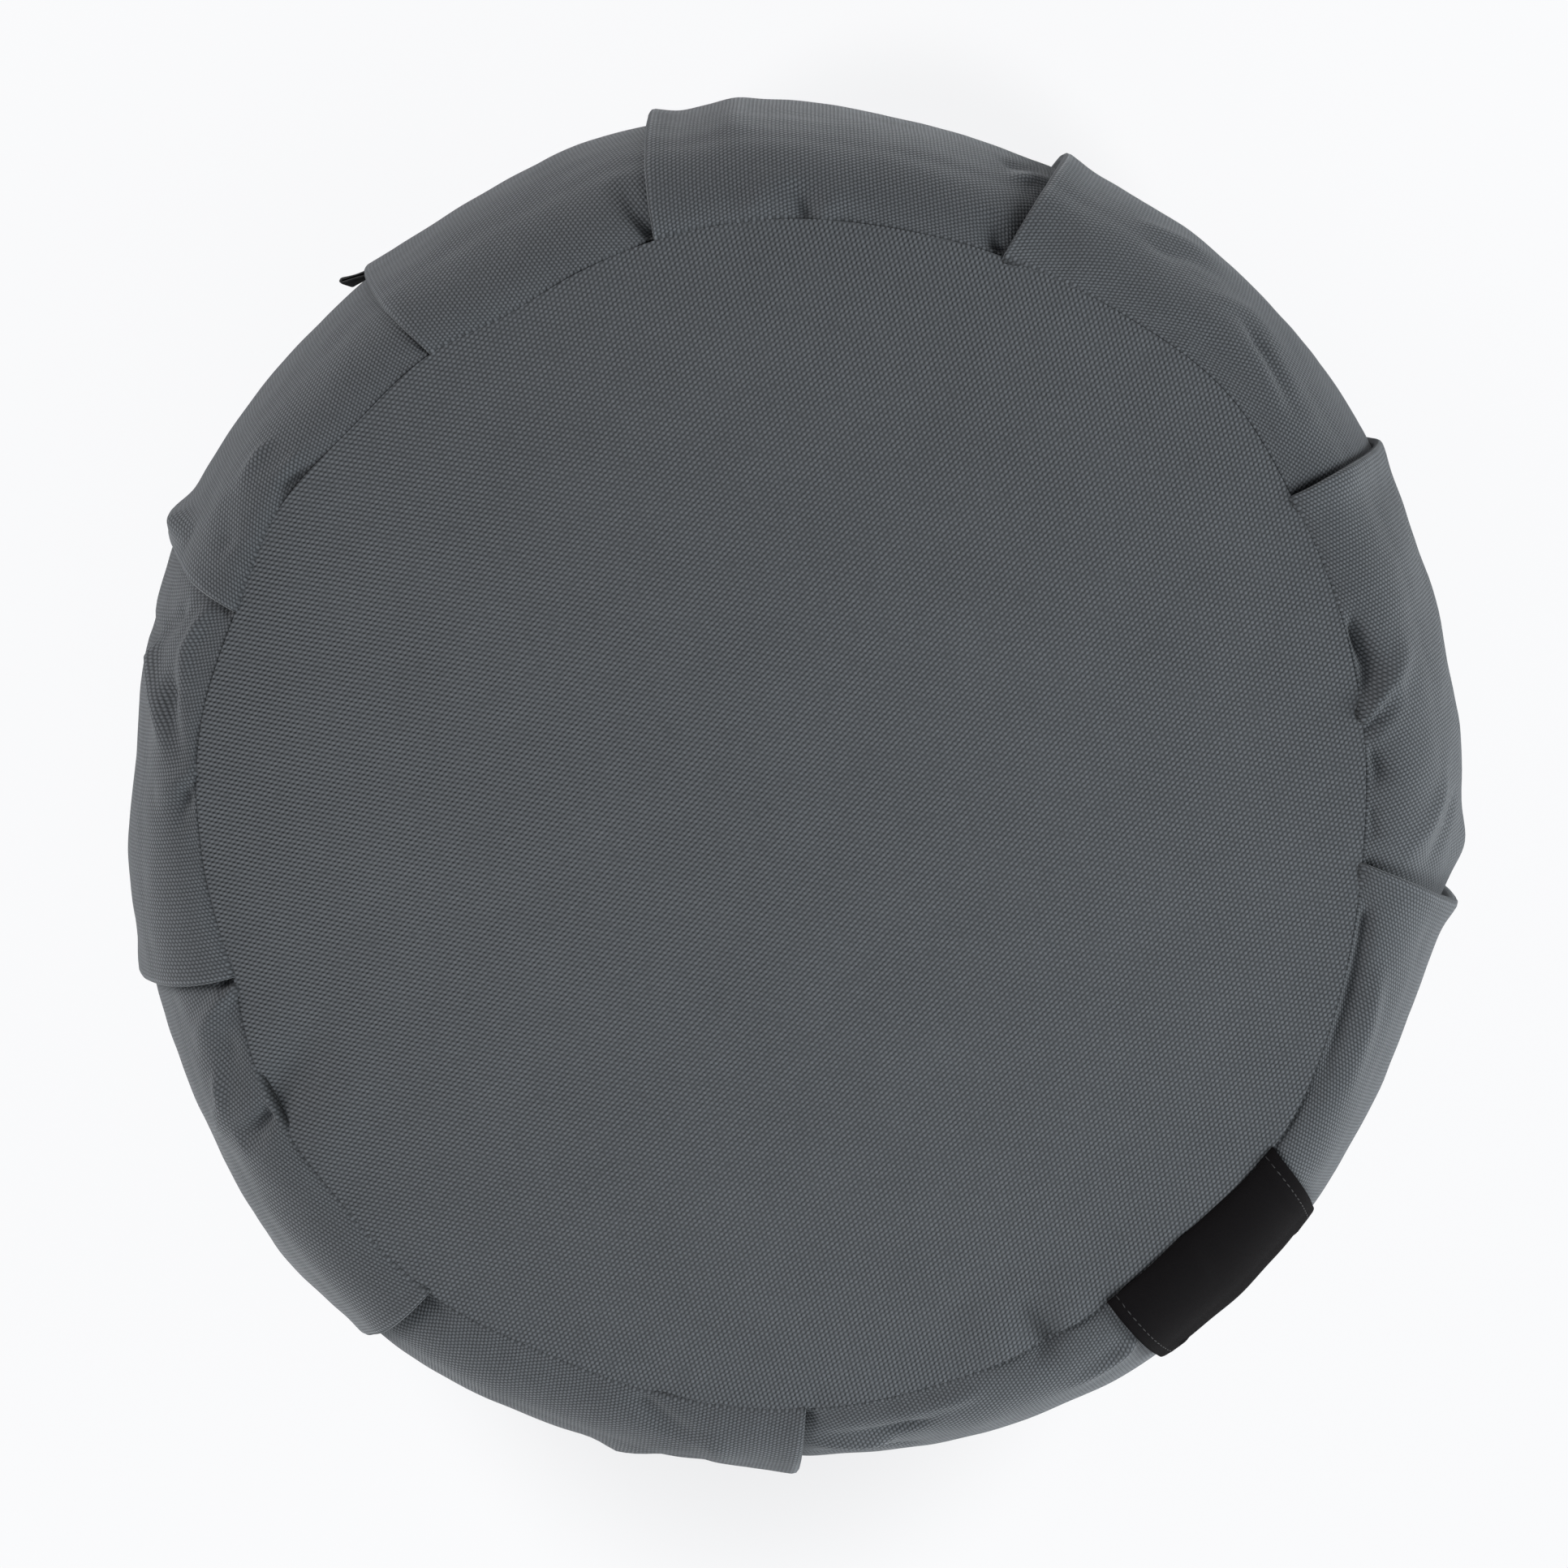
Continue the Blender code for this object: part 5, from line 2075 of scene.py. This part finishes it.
@dataclass(frozen=True)
class Studio:
    """The pale floor, the soft light and the camera above the cushion."""

    target: tuple[float, float, float] = (-0.0019, 0.00152, 0.078)
    lean_right: float = 0.99
    lean_up: float = 7.04
    distance: float = 0.985
    lens: float = 85.0
    sky: float = 0.09
    floor_glow: float = 0.94
    floor_grey: float = 0.03
    floor_half: float = 4.0
    floor_drop: float = 0.3 * MM
    shades: tuple[FloorShade, FloorShade] = (
        FloorShade(-0.014, -0.102, 1.40, 0.096, 0.168, 0.125),
        FloorShade(0.030, 0.105, 1.25, 0.080, 0.108, 0.06),
    )
    lamps: tuple[Softbox, ...] = (
        Softbox("right_lamp", (1.64, 0.00, 0.80), 0.9, 27.3, (0.96, 1.0, 1.0)),
        Softbox("left_lamp", (-1.50, 0.66, 0.80), 0.9, 26.0, (1.0, 0.985, 0.965)),
        Softbox("front_lamp", (0.82, -1.42, 0.80), 0.9, 10.8, (0.95, 1.0, 1.0)),
        Softbox("high_lamp", (0.0, -0.95, 1.60), 0.9, 13.2, (0.97, 1.0, 1.0)),
    )

    def build(self) -> None:
        """Sets up the floor, the lamps, the sky and the camera."""
        self.floor()
        for lamp in self.lamps:
            lamp.build()
        world = bpy.data.worlds.new("studio")
        world.use_nodes = True
        background = world.node_tree.nodes["Background"]
        background.inputs["Color"].default_value = (0.97, 0.985, 1.0, 1.0)
        background.inputs["Strength"].default_value = self.sky
        bpy.context.scene.world = world
        bpy.context.scene.view_settings.view_transform = "Standard"
        self.camera()

    @staticmethod
    def shade(g: Graph, place: Sock, blot: FloorShade) -> Sock:
        """How much of the floor's glow one painted shadow leaves.

        Args:
            g: The floor's node tree.
            place: Where on the floor.
            blot: The shade.

        Returns:
            A share of the light, from 0 to 1.
        """
        x, y, _ = g.split(place)
        across = (x - blot.x) * blot.narrow
        along = y - blot.y
        distance = (across * across + along * along).maths("SQRT")
        return g.add(
            "ShaderNodeMapRange",
            {"interpolation_type": "SMOOTHSTEP"},
            {
                "Value": distance,
                "From Min": blot.full,
                "From Max": blot.none,
                "To Min": 1.0 - blot.depth,
                "To Max": 1.0,
            },
        )

    def floor(self) -> None:
        """Lays the pale floor, which glows so that it stays white outside the painted shadows."""
        bm = bmesh.new()
        bmesh.ops.create_grid(bm, x_segments=1, y_segments=1, size=self.floor_half)
        mesh = bpy.data.meshes.new("floor")
        bm.to_mesh(mesh)
        bm.free()
        g = Graph("white_floor")
        place = g.add("ShaderNodeTexCoord", {}, {}, "Object")
        # Two painted shadows darken the floor's glow beside the cushion.
        left = self.shade(g, place, self.shades[0]) * self.shade(g, place, self.shades[1])
        g.set(
            Base_Color=(self.floor_grey, self.floor_grey, self.floor_grey * 1.01, 1.0),
            Roughness=0.9,
            Specular_IOR_Level=0.0,
            Emission_Color=g.tint((0.985, 0.988, 1.0), left),
            Emission_Strength=self.floor_glow,
        )
        mesh.materials.append(g.material)
        floor = bpy.data.objects.new("floor", mesh)
        bpy.context.scene.collection.objects.link(floor)
        floor.location.z = -self.floor_drop

    def camera(self) -> None:
        """Places the camera above the cushion, leaning towards the top of the picture."""
        back = Vector(
            (math.tan(math.radians(self.lean_right)), math.tan(math.radians(self.lean_up)), 1.0)
        ).normalized()
        right = Vector((0.0, 1.0, 0.0)).cross(back).normalized()
        up = back.cross(right)
        data = bpy.data.cameras.new("camera")
        data.lens = self.lens
        data.sensor_width = 36.0
        data.clip_end = 50.0
        camera = bpy.data.objects.new("camera", data)
        turn = Matrix((right, up, back)).transposed().to_4x4()
        camera.matrix_world = Matrix.Translation(Vector(self.target) + back * self.distance) @ turn
        bpy.context.scene.collection.objects.link(camera)
        bpy.context.scene.camera = camera


def main() -> None:
    """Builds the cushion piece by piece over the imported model."""
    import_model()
    form = CushionForm()
    band_canvas = Canvas("band_canvas", lines=0.95, leaning=0.95, crossing=0.65, contrast=0.36).material()
    disc_canvas = Canvas(
        "disc_canvas",
        lines=1.0,
        leaning=0.46,
        crossing=0.22,
        leaning_slope=(-1.6, 26.0, 0.0),
        crossing_slope=(1.6, 16.0, 34.0),
        contrast=0.375,
    ).material()
    label_cloth = BlackCloth(
        "black_label",
        pitch=0.42 * MM,
        colour=(0.0034, 0.0028, 0.0033),
        worn_and_highlight_colour=(0.0095, 0.0082, 0.0095),
    )
    # The tape's lighter colour is the painted highlight on its edges.
    tape_cloth = BlackCloth(
        "black_tape",
        pitch=0.6 * MM,
        colour=(0.014, 0.014, 0.015),
        worn_and_highlight_colour=(0.120, 0.122, 0.126),
        diagonal=0.0,
    )
    grey_thread = Thread("grey_thread", (0.16, 0.17, 0.185)).material()
    black_thread = Thread("black_thread", (0.008, 0.0075, 0.0085)).material()

    band = SideBand(form).build(band_canvas)
    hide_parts("side_band")
    for side in Side:
        panel = RoundPanel(form, side)
        disc = panel.build(disc_canvas)
        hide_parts(side.value)

    label = SideLabel(form)
    label_piece = label.build(band, label_cloth.material())
    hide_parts("side_label")
    tape = TapeLoop()
    tape_piece = tape.build(tape_cloth.material())
    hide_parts("tape_loop")

    seam_thread = SeamThread(form).build(Stitching("seam_stitches", grey_thread))
    label_thread = label.sew(Stitching("label_stitches", black_thread))
    Studio().build()


if __name__ == "__main__":
    logging.basicConfig(level=logging.INFO, format="%(name)s: %(message)s")
    main()
